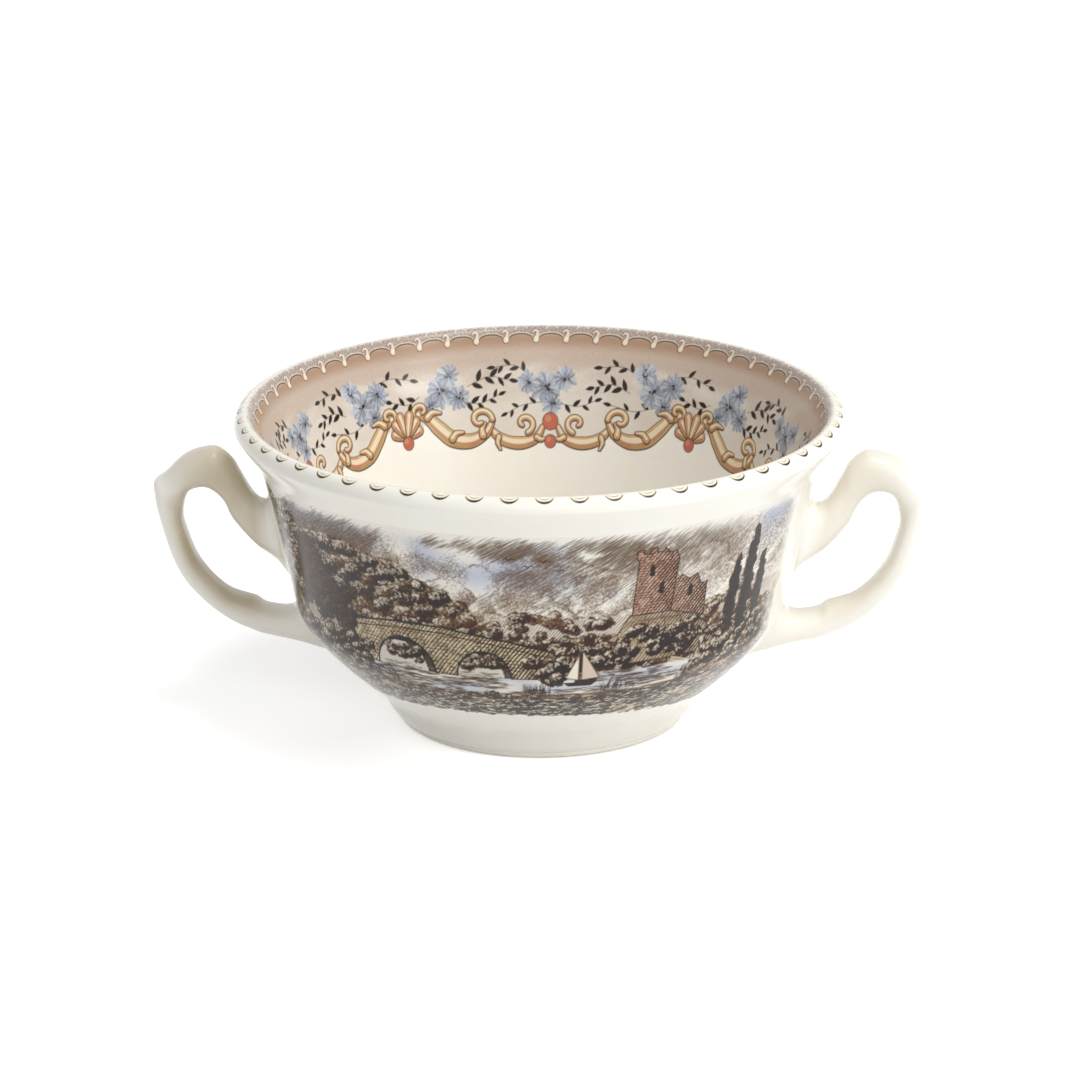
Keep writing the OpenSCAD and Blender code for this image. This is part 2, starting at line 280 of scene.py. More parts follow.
kiln_specks, given = new_group("kiln_specks", {
    "Color": WHITE, "Speck Color": paint(150, 128, 100), "Cell Size": 210.0, "Speck Size": 0.055, "Strength": 0.55})
cells = add_node(kiln_specks, "ShaderNodeTexVoronoi",
                 {"Vector": on_object(kiln_specks), "Scale": given["Cell Size"], "Randomness": 1.0}).outputs
round_core = spread(kiln_specks, maths(kiln_specks, "DIVIDE", cells["Distance"], given["Speck Size"]),
                    0.55, 1.0, 1.0, 0.0)
red = add_node(kiln_specks, "ShaderNodeSeparateColor", {"Color": cells["Color"]}).outputs["Red"]
speck = maths(kiln_specks, "MULTIPLY", round_core, spread(kiln_specks, red, 0.90, 0.93))
share = maths(kiln_specks, "MULTIPLY", speck, given["Strength"])
give_out(kiln_specks, Color=mixed(kiln_specks, share, given["Color"], given["Speck Color"]))

glaze_skin, given = new_group("glaze_skin", {"Wave Size": 60.0, "Smooth": 0.14, "Dull": 0.24})
mist = noise(glaze_skin, 190.0, 4.0, 0.6)
give_out(glaze_skin, Height=noise(glaze_skin, given["Wave Size"], 1.5, 0.4),
         Roughness=spread(glaze_skin, mist, 0.35, 0.7, given["Smooth"], given["Dull"]))

# Painted shade for the handles: a buff tint, laid in uneven blotches, that darkens them by a share kept at each of
# their points.
handle_shade_paint, given = new_group("handle_shade_paint", {
    "Color": WHITE, "Shade Color": paint(200, 187, 160), "Thickness": 0.0, "Blotch Size": 75.0})
unevenly = spread(handle_shade_paint, noise(handle_shade_paint, given["Blotch Size"], 2.0), 0.3, 0.6, 0.55, 1.0)
share = maths(handle_shade_paint, "MULTIPLY", unevenly, given["Thickness"])
give_out(handle_shade_paint, Color=mixed(handle_shade_paint, share, given["Color"], given["Shade Color"]))

# %% A print under the glaze
print_under, given = new_group("print_over_glaze", {"Glaze": WHITE, "Ink": (0, 0, 0, 1), "Cover": 0.0})
clear = maths(print_under, "SUBTRACT", 1.0, given["Cover"])
bare_glaze = add_node(print_under, "ShaderNodeVectorMath", {0: given["Glaze"], "Scale": clear}, operation="SCALE")
inked = add_node(print_under, "ShaderNodeVectorMath", {0: bare_glaze.outputs[0], 1: given["Ink"]}, operation="ADD")
give_out(print_under, Color=inked.outputs[0])
print("shared groups:", [group.name for group in bpy.data.node_groups])

# %% [markdown]
# ## The materials
# Body, foot, handles and slip share the glaze. The foot also has a band that was wiped clean before firing, so that the
# pot didn't stick to the kiln shelf: there the bare clay is duller and more buff. A print lies between clay and glaze,
# so it changes the colour only, and the gloss runs on over it. The gloss is kept a little under that of a real glaze,
# because the white room would lay a grey veil over the dark inks.

# %% Glazed materials
def glazed(name, wave_height=0.12, pooled=POOLED):
    """A glazed material. Gives back the material, its shader and the colour that reaches it."""
    material = bpy.data.materials.new(name)
    material.use_nodes = True
    tree = material.node_tree
    tree.nodes.clear()
    tone = add_node(tree, "ShaderNodeGroup", {"Clay": CLAY, "Pooled": pooled}, node_tree=glaze_tone)
    specks = add_node(tree, "ShaderNodeGroup", {"Color": tone.outputs["Color"]}, node_tree=kiln_specks)
    skin = add_node(tree, "ShaderNodeGroup", node_tree=glaze_skin)
    bump = add_node(tree, "ShaderNodeBump",
                    {"Height": skin.outputs["Height"], "Strength": 0.6, "Distance": wave_height * MM})
    colour = specks.outputs["Color"]
    shader = add_node(tree, "ShaderNodeBsdfPrincipled", {
        "Base Color": colour, "Roughness": skin.outputs["Roughness"], "Normal": bump.outputs["Normal"],
        "IOR": 1.5, "Specular IOR Level": 0.3})
    add_node(tree, "ShaderNodeOutputMaterial", {"Surface": shader.outputs["BSDF"]})
    return material, shader, colour


body_glaze = glazed("body_glaze")[0]
slip_glaze = glazed("slip_glaze", pooled=SLIP_POOLED)[0]
SHADE_ATTRIBUTE = "painted_handle_shade"
# The handles' glaze also mixes in that painted shade, read from the number kept at each point of a handle.
handle_glaze, handle_shader, colour = glazed("handle_glaze", wave_height=0.2)
tree = handle_glaze.node_tree
run = add_node(tree, "ShaderNodeAttribute", attribute_name=SHADE_ATTRIBUTE, attribute_type="GEOMETRY")
shade_node = add_node(tree, "ShaderNodeGroup", {"Color": colour, "Thickness": run.outputs["Fac"]}, node_tree=handle_shade_paint)
feed(tree, handle_shader.inputs["Base Color"], shade_node.outputs["Color"])

# %% Foot material, wiped where it stands
BARE_ROUGHNESS = 0.8
foot_glaze, foot_shader, colour = glazed("foot_glaze")
tree = foot_glaze.node_tree
height = add_node(tree, "ShaderNodeSeparateXYZ", {"Vector": on_object(tree)}).outputs["Z"]
ragged = maths(tree, "MULTIPLY_ADD", noise(tree, 420.0, 3.0), 0.25 * MM, height)
wiped = spread(tree, ragged, 0.32 * MM, 0.5 * MM, 1.0, 0.0)
bare_clay = mixed(tree, noise(tree, 1500.0, 5.0), paint(214, 196, 164), paint(190, 170, 138))
feed(tree, foot_shader.inputs["Base Color"], mixed(tree, wiped, colour, bare_clay))
glossy = foot_shader.inputs["Roughness"].links[0].from_socket
rough = add_node(tree, "ShaderNodeMix", {0: wiped, 2: glossy, 3: BARE_ROUGHNESS}, data_type="FLOAT")
feed(tree, foot_shader.inputs["Roughness"], rough.outputs[0])

# %% Printed materials
INK = "print_ink"


def printed(name):
    """Glaze with a print under it. The print's colour and cover are kept at each point of the mesh."""
    material, shader, glaze_colour = glazed(name)
    tree = material.node_tree
    ink = add_node(tree, "ShaderNodeAttribute", attribute_name=INK, attribute_type="GEOMETRY").outputs
    both = add_node(tree, "ShaderNodeGroup", {"Glaze": glaze_colour, "Ink": ink["Color"], "Cover": ink["Alpha"]},
                    node_tree=print_under)
    feed(tree, shader.inputs["Base Color"], both.outputs["Color"])
    return material


scene_glaze, border_glaze, edge_glaze = printed("scene_glaze"), printed("border_glaze"), printed("edge_glaze")
print("materials:", [material.name for material in bpy.data.materials])

# %% [markdown]
# ## The body
# The body is the thin shell between the two outlines, closed under the base. The wall is thinnest at the side and a
# little thicker at the lip, which was rounded with a wet sponge. The corner under the base is held crisp by two rings
# close together, and is hidden where the foot is luted on.

# %% Body
def dress(piece, node, material):
    """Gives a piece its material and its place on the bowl."""
    piece.data.materials.append(material)
    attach(piece, "root")
    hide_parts(node)
    print(piece.name, "takes the place of", node, "with", len(piece.data.polygons), "cells")


HOLD = 0.06
base = [[recess_r - HOLD, recess_h], [recess_r, recess_h], [recess_r, recess_h + HOLD],
        [recess_r, foot_h], [recess_r + HOLD, foot_h], [foot_top_r - HOLD, foot_h]]
inside_floor = [[floor_edge[0] * k, floor_z] for k in (1.0, 0.75, 0.5, 0.25, 0.04)]
base_disc = [[recess_r * k, recess_h] for k in (0.04, 0.3, 0.6, 0.85)]
body_outline = np.vstack([base_disc, base, outer_wall, lip_curve, inner_wall, inside_floor])
bowl_shell = turned("bowl_shell", body_outline, caps=((0, 0, recess_h), (0, 0, floor_z)))
dress(bowl_shell, "bowl_body", body_glaze)

# %% [markdown]
# ## The foot
# The foot is a low ring that leans in towards the table. Its standing edges are rounded, and glaze has run into the
# corner where it meets the wall, so a small hollow curve there softens the join.

# %% Foot
def distances(curve):
    """How far along a curve each of its points lies."""
    return np.concatenate([[0], np.cumsum(np.linalg.norm(np.diff(curve, axis=0), axis=1))])


def at_distance(curve, distance):
    gone = distances(curve)
    return np.stack([np.interp(distance, gone, curve[:, k]) for k in (0, 1)], -1)


def along_wall(distance, lift=0.0):
    """A point of the outer wall at a distance up from its lower corner, lifted off it."""
    p, q = at_distance(outer_wall, distance), at_distance(outer_wall, distance + 0.1)
    d = (q - p) / np.linalg.norm(q - p)
    return p + lift * np.array([d[1], -d[0]])


BULGE, JOIN_DEPTH, JOIN_REACH = 0.42, 1.0, 1.3
inner_r = foot_r - foot_ring_w
foot_low, foot_corner = np.array([foot_r, foot_edge_r]), np.array([foot_top_r, foot_h])
side = curve_through(foot_low, foot_low + (foot_corner - foot_low) * [BULGE, 1 - 2 * BULGE],
                     foot_low + (foot_corner - foot_low) * [1 - BULGE, 1 - BULGE], foot_corner, 30)
side = side[side[:, 1] < foot_h - JOIN_DEPTH]
joint = curve_through(side[-1] + (side[-1] - side[-2]), foot_corner + [-0.15, -0.35], along_wall(0.15, 0.02),
                      along_wall(JOIN_REACH, -0.04), 10)
turn = np.radians(np.arange(0, 91, 7.5))
edge_z = foot_edge_r - foot_edge_r * np.cos(turn)
outer_round = np.stack([foot_r - foot_edge_r + foot_edge_r * np.sin(turn), edge_z], -1)
inner_round = np.stack([inner_r + edge_z, foot_edge_r - foot_edge_r * np.sin(turn)], -1)
tuck = [along_wall(JOIN_REACH, -0.5), [recess_r + 1, foot_h + 0.6], [recess_r, recess_h + 0.3], [recess_r, recess_h]]
foot_outline = np.vstack([tuck, inner_round, outer_round[1:-1], side, joint])
dress(turned("foot_turned", foot_outline, close_along=True), "foot_ring", foot_glaze)

# %% [markdown]
# ## The handles
# A loop handle is cast in a small two-part mould, trimmed, and bent a little as it is stuck on. It is a sweep: a
# rounded section carried along the loop, flaring at both ends. Each row of the tables gives the section's outer and
# inner points as shares of the reach from the wall to the tip and of the bowl's height, and how far its width has
# spread. The rows of the upper bend make it rounder than in the CAD model, as the moulded loop is.

# %% Handle tables
tip_r, handle_w, upper_root_w, lower_root_w = 76.5, 8.4, 14.0, 11.5
upper_rows = [
    (0.000, 0.720, 0.000, 0.450, 1.00), (0.050, 0.690, 0.040, 0.485, 0.62), (0.125, 0.695, 0.125, 0.520, 0.34),
    (0.170, 0.722, 0.220, 0.550, 0.15), (0.228, 0.782, 0.365, 0.632, 0.00), (0.270, 0.822, 0.402, 0.682, 0),
    (0.350, 0.854, 0.465, 0.716, 0), (0.450, 0.864, 0.560, 0.735, 0), (0.700, 0.840, 0.685, 0.725, 0),
    (0.895, 0.780, 0.735, 0.695, 0), (0.975, 0.760, 0.750, 0.675, 0), (1.000, 0.745, 0.760, 0.660, 0)]
lower_rows = [
    (0.995, 0.720, 0.765, 0.640, 0), (0.975, 0.665, 0.760, 0.610, 0), (0.885, 0.525, 0.700, 0.520, 0),
    (0.800, 0.440, 0.630, 0.465, 0), (0.705, 0.385, 0.545, 0.420, 0), (0.600, 0.330, 0.460, 0.390, 0.00),
    (0.505, 0.290, 0.360, 0.375, 0.04), (0.430, 0.270, 0.295, 0.365, 0.10), (0.370, 0.255, 0.255, 0.345, 0.18),
    (0.210, 0.235, 0.130, 0.335, 0.50), (0.105, 0.210, 0.045, 0.350, 0.75), (0.000, 0.185, 0.000, 0.375, 1.00)]


def handle_row(row, root_w):
    """[outer reach, outer height, inner reach, inner height, width] in millimetres."""
    outer_z, inner_z = row[1] * bowl_h, row[3] * bowl_h
    outer_r, inner_r = wall_r(outer_z), wall_r(inner_z)
    return [outer_r + (tip_r - outer_r) * row[0], outer_z, inner_r + (tip_r - inner_r) * row[2], inner_z,
            handle_w + (root_w - handle_w) * row[4]]


def run_through(rows, steps):
    """One smooth curve through all rows but the first and last, which only say how it leaves its ends."""
    t = (np.arange(steps) / steps)[:, None]
    made = [0.5 * (2 * b + (c - a) * t + (2 * a - 5 * b + 4 * c - d) * t * t + (3 * b - a - 3 * c + d) * t ** 3)
            for a, b, c, d in zip(rows[:-3], rows[1:-2], rows[2:-1], rows[3:])]
    return np.vstack(made + [rows[-2:-1]])


def eased(rows, rounds):
    """Rows with each pulled towards the middle of its neighbours, so the clay looks pressed and not cut."""
    for _ in range(rounds):
        rows[1:-1] = rows[1:-1] * 0.5 + (rows[:-2] + rows[2:]) * 0.25
    return rows


# %% Handle mesh
RING, HANDLE_STEPS, EASE_ROUNDS, SQUARENESS, SINK = 72, 14, 16, 0.8, 0.9
ring_angle = np.arange(RING) * 2 * np.pi / RING
section_x, section_y = (np.sign(k) * np.abs(k) ** SQUARENESS for k in (np.cos(ring_angle), np.sin(ring_angle)))
handle_rows = np.array([handle_row(row, upper_root_w) for row in upper_rows]
                       + [handle_row(row, lower_root_w) for row in lower_rows])
rows = eased(run_through(np.vstack([handle_rows[:1], handle_rows, handle_rows[-1:]]), HANDLE_STEPS), EASE_ROUNDS)


def on_wall(y, z, gap):
    """Points of the outer wall on the +X side at (y, z), a gap off its surface."""
    return np.stack([np.sqrt((wall_r(z) + gap) ** 2 - y * y), y, z], -1)


def section(row):
    """A ring of the handle. Near its ends it sinks a little into the wall."""
    x = (row[0] + row[2]) / 2 + section_x * (row[0] - row[2]) / 2
    z = (row[1] + row[3]) / 2 + section_x * (row[1] - row[3]) / 2
    y = section_y * row[4] / 2
    return np.stack([np.maximum(x, on_wall(y, z, -SINK)[:, 0]), y, z], -1)


rings = np.array([section(row) for row in rows])
# Painted shade on the handles: the side towards the hole and the upper bend are tinted darker. Each side gives its
# mirror and how strong that shade is. The left handle, on the side away from the main lamp, gets more than the right.
SIDES = {"right": (1, 0.4), "left": (-1, 1.0)}
along = np.linspace(0, 1, len(rows))[:, None]
hole_side_shade = (np.clip((0.3 - section_x) / 0.9, 0, 1)[None, :]
             * np.interp(along, [0.1, 0.3, 0.5, 0.8, 0.92], [0.2, 0.5, 1, 1, 0]))
bend_shade = np.interp(along, [0.05, 0.12, 0.3, 0.42], [0, 1, 0.9, 0])
painted_shade = np.maximum(hole_side_shade, bend_shade)
for word, (mirror, shade_strength) in SIDES.items():
    loop = net(f"{word}_loop", rings * [mirror, 1, 1], close_across=True, flip=mirror < 0,
               caps=[rings[end].mean(0) * [mirror, 1, 1] for end in (0, -1)])
    shade_per_point = np.zeros(len(loop.data.vertices), np.float32)
    shade_per_point[:painted_shade.size] = painted_shade.ravel() * shade_strength
    loop.data.attributes.new(SHADE_ATTRIBUTE, "FLOAT", "POINT").data.foreach_set("value", shade_per_point)
    dress(loop, f"{word}_handle", handle_glaze)

# %% [markdown]
# ## Slip at the joints
# The potter scores both faces, wets them with slip and smooths what squeezes out with a finger, which leaves a soft
# hollow curve all round. Each joint here is such a collar: a closed ring whose outer face bends from the handle's side
# over to the wall, with both edges just under the surfaces that it joins.

# %% Slip collars
SPREAD_OUT, BURIED, COLLAR_STEPS = 1.6, 0.06, 12


def collar(name, end, step, reach, node):
    """A hollow-curved ring of slip. end is the handle's end row and step the way in from it."""
    root = on_wall(rings[end][:, 1], rings[end][:, 2], 0.0)
    centre = root.mean(0)
    out = (root - centre) * [0, 1, 1]
    skirt = root + out / np.linalg.norm(out, axis=1)[:, None] * SPREAD_OUT
    on_pot = on_wall(skirt[:, 1], skirt[:, 2], -0.05)
    side_ring, near_ring = rings[end + step * reach], rings[end + step * 2]
    corner_ring = root * 0.5 + on_wall(near_ring[:, 1], near_ring[:, 2], 0.0) * 0.5
    core = side_ring.mean(0)
    on_handle = side_ring + (core - side_ring) / np.linalg.norm(core - side_ring, axis=1)[:, None] * BURIED
    t = (np.arange(COLLAR_STEPS + 1) / COLLAR_STEPS)[:, None, None]
    outer_face = (1 - t) ** 2 * on_handle + 2 * t * (1 - t) * corner_ring + t * t * on_pot
    deep = np.stack([on_wall(skirt[:, 1], skirt[:, 2], -0.6),
                     on_wall(root[:, 1] * 0.9, centre[2] + (root[:, 2] - centre[2]) * 0.9, -0.9),
                     core + (side_ring - core) * 0.85])
    for word, (mirror, _) in SIDES.items():
        ring = net(f"{word}_{name}", np.concatenate([outer_face, deep]) * [mirror, 1, 1],
                   close_along=True, close_across=True, flip=mirror < 0)
        dress(ring, f"{word}_{node}", slip_glaze)


collar("upper_collar", 0, 1, 20, "upper_slip")
collar("lower_collar", len(rings) - 1, -1, 18, "lower_slip")

# %% [markdown]
# ## Transfer sheets
# A transfer is printed flat on thin paper, wetted and rubbed down on the pot, so it wraps the wall. Each print here is
# a net of fine cells that follows the outline, a few hundredths of a millimetre off it, with the ink's colour kept at
# each point. Long prints are cut into sheets side by side, as the printer did, and each sheet's edge dips under the
# glaze.

# %% Print sheets
SUNK = 0.02


def ease(x, low, high):
    """0 below low and 1 above high, with a soft step between them."""
    t = np.clip((x - low) / (high - low), 0, 1)
    return t * t * (3 - 2 * t)


def stretch(outline, low, high):
    """The part of a rising outline between two heights."""
    z = outline[:, 1]
    ends = [[np.interp(h, z, outline[:, 0]), h] for h in (low, high)]
    return np.vstack([ends[:1], outline[(z > low) & (z < high)], ends[1:]])


def print_sheets(name, picture, curve, start, sweep, cuts, out_side, material, lift=0.04, ramps=(1.6, 1.6),
                 top_drop=1.0):
    """Lays a picture[row, column] on the outline, from the start angle through the sweep, in degrees."""
    ny, nx = picture.shape[:2]
    length = distances(curve)[-1]
    line = at_distance(curve, np.linspace(0, length, ny))
    tangent = np.gradient(line, axis=0)
    tangent /= np.linalg.norm(tangent, axis=1)[:, None]
    normal = np.stack([tangent[:, 1], -tangent[:, 0]], -1) * out_side
    up_it = np.linspace(0, length, ny)
    rise = (ease(up_it, 0, ramps[0]) * (1 - (1 - ease(up_it[::-1], 0, ramps[1])) * top_drop))[:, None]
    if abs(sweep) < 360:
        along_it = np.linspace(0, abs(np.radians(sweep)) * line[:, 0].mean(), nx)
        rise = rise * ease(np.minimum(along_it, along_it[::-1]), 0, ramps[0])[None, :]
    rise = (rise * (lift + SUNK) - SUNK) + np.zeros((1, nx))
    angle = np.radians(start + sweep * np.arange(nx) / (nx - 1))
    borders = np.linspace(0, nx - 1, cuts + 1).astype(int)
    for k, (first, last) in enumerate(zip(borders[:-1], borders[1:])):
        a, part = angle[first:last + 1], rise[:, first:last + 1]
        radius, height = line[:, :1] + normal[:, :1] * part, line[:, 1:] + normal[:, 1:] * part
        points = np.stack([radius * np.cos(a), radius * np.sin(a), height], -1)
        sheet = net(f"{name}_{k + 1}", points, flip=out_side * sweep < 0)
        layer = sheet.data.color_attributes.new(INK, "FLOAT_COLOR", "POINT")
        layer.data.foreach_set("color", picture[:, first:last + 1].astype(np.float32).ravel())
        flat = np.stack(np.meshgrid(np.linspace(0, 1, len(a)), np.linspace(0, 1, ny)), -1).reshape(-1, 2)
        corner = np.zeros(len(sheet.data.loops), np.int32)
        sheet.data.loops.foreach_get("vertex_index", corner)
        sheet.data.uv_layers.new(name="OFBake").data.foreach_set("uv", flat[corner].astype(np.float32).ravel())
        dress(sheet, f"{name}_print", material)
    print(name, nx, "by", ny, "points,", round(length, 2), "mm high, in", cuts, "sheets")


# %% [markdown]
# ## Drawing the prints
# The printer engraved each picture on copper, in lines and dots, and printed it in one dark colour on tissue. Workers
# in the decorating shop then washed colours over it by hand. Here a picture is a fine grid of ink colour and ink cover,
# drawn with a round brush, many small pen strokes and ruled lines, as the engraver worked. Nothing is read from a file:
# every mark is placed by these functions, and the same numbers come up each time.

# %% Soft noise, insides and ovals
TABLE_SIDE = 512
NOISE = np.random.default_rng(11).random((TABLE_SIDE, TABLE_SIDE))


def drift(x, y, size, seed=0, octaves=3):
    """Smooth noise from 0 to 1 whose features are about size across."""
    total, weight = 0, 0
    for k in range(octaves):
        px, py = x / size * 2 ** k + 37.7 * seed + 11.3 * k, y / size * 2 ** k + 91.1 * seed + 5.9 * k
        ix, iy = np.floor(px).astype(int), np.floor(py).astype(int)
        fx, fy = px - ix, py - iy
        fx, fy = fx * fx * (3 - 2 * fx), fy * fy * (3 - 2 * fy)
        row, next_row = iy % TABLE_SIDE, (iy + 1) % TABLE_SIDE
        col, next_col = ix % TABLE_SIDE, (ix + 1) % TABLE_SIDE
        low = NOISE[row, col] * (1 - fx) + NOISE[row, next_col] * fx
        high = NOISE[next_row, col] * (1 - fx) + NOISE[next_row, next_col] * fx
        total = total + (low * (1 - fy) + high * fy) * 0.5 ** k
        weight += 0.5 ** k
    return total / weight


def inside_of(outline, x, y):
    """Which points lie inside a closed outline."""
    inside = np.zeros(x.shape, bool)
    for a, b in zip(outline, np.roll(outline, -1, axis=0)):
        if a[1] != b[1]:
            inside ^= ((a[1] > y) != (b[1] > y)) & (x < (b[0] - a[0]) * (y - a[1]) / (b[1] - a[1]) + a[0])
    return inside


def oval(cx, cy, rx, ry, a):
    """The points of an oval at some angles."""
    return np.stack([cx + rx * np.cos(a), cy + ry * np.sin(a)], -1)


# %% Drawing sheet
WHOLE = (slice(None), slice(None))


class Sheet:
    """A flat picture in millimetres, with its inks by name and its own random numbers."""

    def __init__(self, inks, seed, width, height, cell, low=0.0):
        self.inks, self.seed, self.rng, self.cell = inks, seed, np.random.default_rng(seed), cell
        self.between, self.about = self.rng.uniform, self.rng.normal
        self.nx, self.ny = int(round(width / cell)) + 1, int(round(height / cell)) + 1
        self.size, self.corner = np.array([width, height]), np.array([-width / 2, low])
        self.x, self.y = np.meshgrid(np.arange(self.nx) * width / (self.nx - 1) - width / 2,
                                     low + np.arange(self.ny) * height / (self.ny - 1))
        self.ink, self.cover = np.zeros((self.ny, self.nx, 3)), np.zeros((self.ny, self.nx))

    def any_of(self, *names):
        return names[int(self.rng.integers(len(names)))]

    def around(self, points, reach=0.0):
        """The part of the grid round some points."""
        start = (np.min(points, 0) - reach - self.corner) / self.cell - 2
        end = (np.max(points, 0) + reach - self.corner) / self.cell + 3
        (i0, j0), (i1, j1) = np.clip([start, end], 0, [self.nx, self.ny]).astype(int)
        return slice(j0, j1), slice(i0, i1)

    def lay(self, mask, ink, where=WHOLE):
        m = mask[..., None]
        self.ink[where] = self.ink[where] * (1 - m) + m * self.inks[ink]
        self.cover[where] = self.cover[where] * (1 - mask) + mask

    def brush(self, points, radii, ink, strength=1.0, closed=False):
        """One stroke of a round brush through the points, thick and thin by radii."""
        p = np.asarray(points, float)
        r = np.broadcast_to(np.asarray(radii, float), (len(p),))
        if closed:
            p, r = np.vstack([p, p[:1]]), np.append(r, r[0])
        where = self.around(p, r.max() + self.cell)
        x_at, y_at = self.x[0, where[1]], self.y[where[0], 0]
        best = np.full((len(y_at), len(x_at)), 1e9)
        for a, b, ra, rb in zip(p[:-1], p[1:], r[:-1], r[1:]):
            low, high = np.minimum(a, b) - max(ra, rb) - self.cell, np.maximum(a, b) + max(ra, rb) + self.cell
            (i0, i1), (j0, j1) = np.searchsorted(x_at, [low[0], high[0]]), np.searchsorted(y_at, [low[1], high[1]])
            px, py = x_at[None, i0:i1] - a[0], y_at[j0:j1, None] - a[1]
            dx, dy = b - a
            t = np.clip((px * dx + py * dy) / max(dx * dx + dy * dy, 1e-9), 0, 1)
            d = np.hypot(px - t * dx, py - t * dy) - (ra + t * (rb - ra))
            best[j0:j1, i0:i1] = np.minimum(best[j0:j1, i0:i1], d)
        self.lay(np.clip(0.5 - best / self.cell, 0, 1) * strength, ink, where)

    def area(self, points, ink, strength=1.0):
        """Fills the inside of a closed outline."""
        where = self.around(points)
        self.lay(inside_of(points, self.x[where], self.y[where]) * strength, ink, where)

    def dots(self, x, y, weight, ink):
        """Many small touches of the pen at once, each shared out over four points of the grid."""
        at = (np.stack([x, y], -1) - self.corner) / self.cell
        whole = np.floor(at).astype(int)
        ok = ((whole >= 0) & (whole < [self.nx - 1, self.ny - 1])).all(-1)
        if not ok.any():
            return
        (ix, iy), (fx, fy), w = whole[ok].T, (at - whole)[ok].T, np.broadcast_to(weight, x.shape)[ok]
        j0, j1, i0, i1 = iy.min(), iy.max() + 2, ix.min(), ix.max() + 2
        touched = np.zeros((j1 - j0) * (i1 - i0))
        for dj, share_y in ((0, 1 - fy), (1, fy)):
            for di, share_x in ((0, 1 - fx), (1, fx)):
                cell = (iy - j0 + dj) * (i1 - i0) + ix - i0 + di
                touched += np.bincount(cell, share_x * share_y * w, len(touched))
        self.lay(1 - np.exp(-touched.reshape(j1 - j0, -1)), ink, (slice(j0, j1), slice(i0, i1)))

    def strokes(self, x, y, angle, length, bend, weight, ink, steps):
        """Many short pen strokes at once, thick in the middle and thin at the ends."""
        t = ((np.arange(steps) + 0.5) / steps)[None, :]
        angle, length, bend, weight = (np.asarray(k)[:, None] for k in (angle, length, bend, weight))
        c, s = np.cos(angle), np.sin(angle)
        along, side = (t - 0.5) * length, (t * (1 - t) * 4) * bend
        px, py = x[:, None] + along * c - side * s, y[:, None] + along * s + side * c
        w = weight * np.sin(np.pi * t) ** 0.6 * length / steps / self.cell
        self.dots(px.ravel(), py.ravel(), w.ravel(), ink)

    def rule(self, tone, angle, spacing, ink, where=WHOLE, wobble=0.25):
        """Ruled lines whose thickness follows a tone from 0 to 1."""
        x, y = self.x[where], self.y[where]
        c, s = np.cos(angle), np.sin(angle)
        phase = (y * c - x * s) / spacing + wobble * 4 * (drift(x, y, 6, 0, 2) - 0.5)
        line = np.abs(phase - np.floor(phase) - 0.5) * 2
        self.lay(np.clip((tone - line) / (self.cell / spacing * 1.6) + 0.5, 0, 1) * (tone > 0.03), ink, where)

    def picture(self):
        """The ink's colour and cover together."""
        return np.dstack([self.ink, self.cover])


# %% [markdown]
# ## The river scene
# Such bowls carry a landscape outside, dark at one end and open in the middle. This one is made up: a two-arched
# bridge, a ruined tower on a rock, poplars and a small boat, under a sky of slanting lines. It is drawn from back to
# front, so nearer things cover farther ones. Places in the picture are millimetres across and up.

# %% Inks of the scene
SCENE_INKS = {name: linear(*tint) for name, tint in {
    "dark": (38, 27, 20), "brown": (72, 54, 41), "moss": (62, 56, 46), "plum": (66, 48, 48), "stipple": (115, 95, 77),
    "cream": (238, 230, 212), "ochre": (202, 186, 155), "salmon": (183, 146, 131), "brick": (131, 91, 79),
    "mauve": (142, 114, 122), "green": (106, 114, 84), "sky": (176, 188, 210), "sky_line": (112, 99, 87),
    "stone": (160, 141, 119), "far_hill": (188, 184, 180), "water": (226, 224, 214), "far_bank": (216, 211, 200),
    "wash": (152, 118, 88)}.items()}
SCENE_HALF, SCENE_HIGH, SCENE_LOW, SCENE_CELL = 61, 50.4, -5.5, 0.18
print("scene inks:", len(SCENE_INKS))


# %% Pen strokes, leaves and trees
def drawn(draw, value, n):
    """A random draw for each stroke where value is a pair, and the plain value where it is a number."""
    return draw(*value, n) if isinstance(value, tuple) else np.full(n, float(value))


def pen(s, px, py, angle, length, bend, weight, ink, steps):
    """Pen strokes at random. Angle and bend are (mean, spread), and length and weight are (low, high)."""
    n = len(px)
    s.strokes(px, py, drawn(s.about, angle, n), drawn(s.between, length, n), drawn(s.about, bend, n),
              drawn(s.between, weight, n), ink, steps)


LIGHT_WAY, LEAVES_PER_MM = (-0.45, 0.8), 34


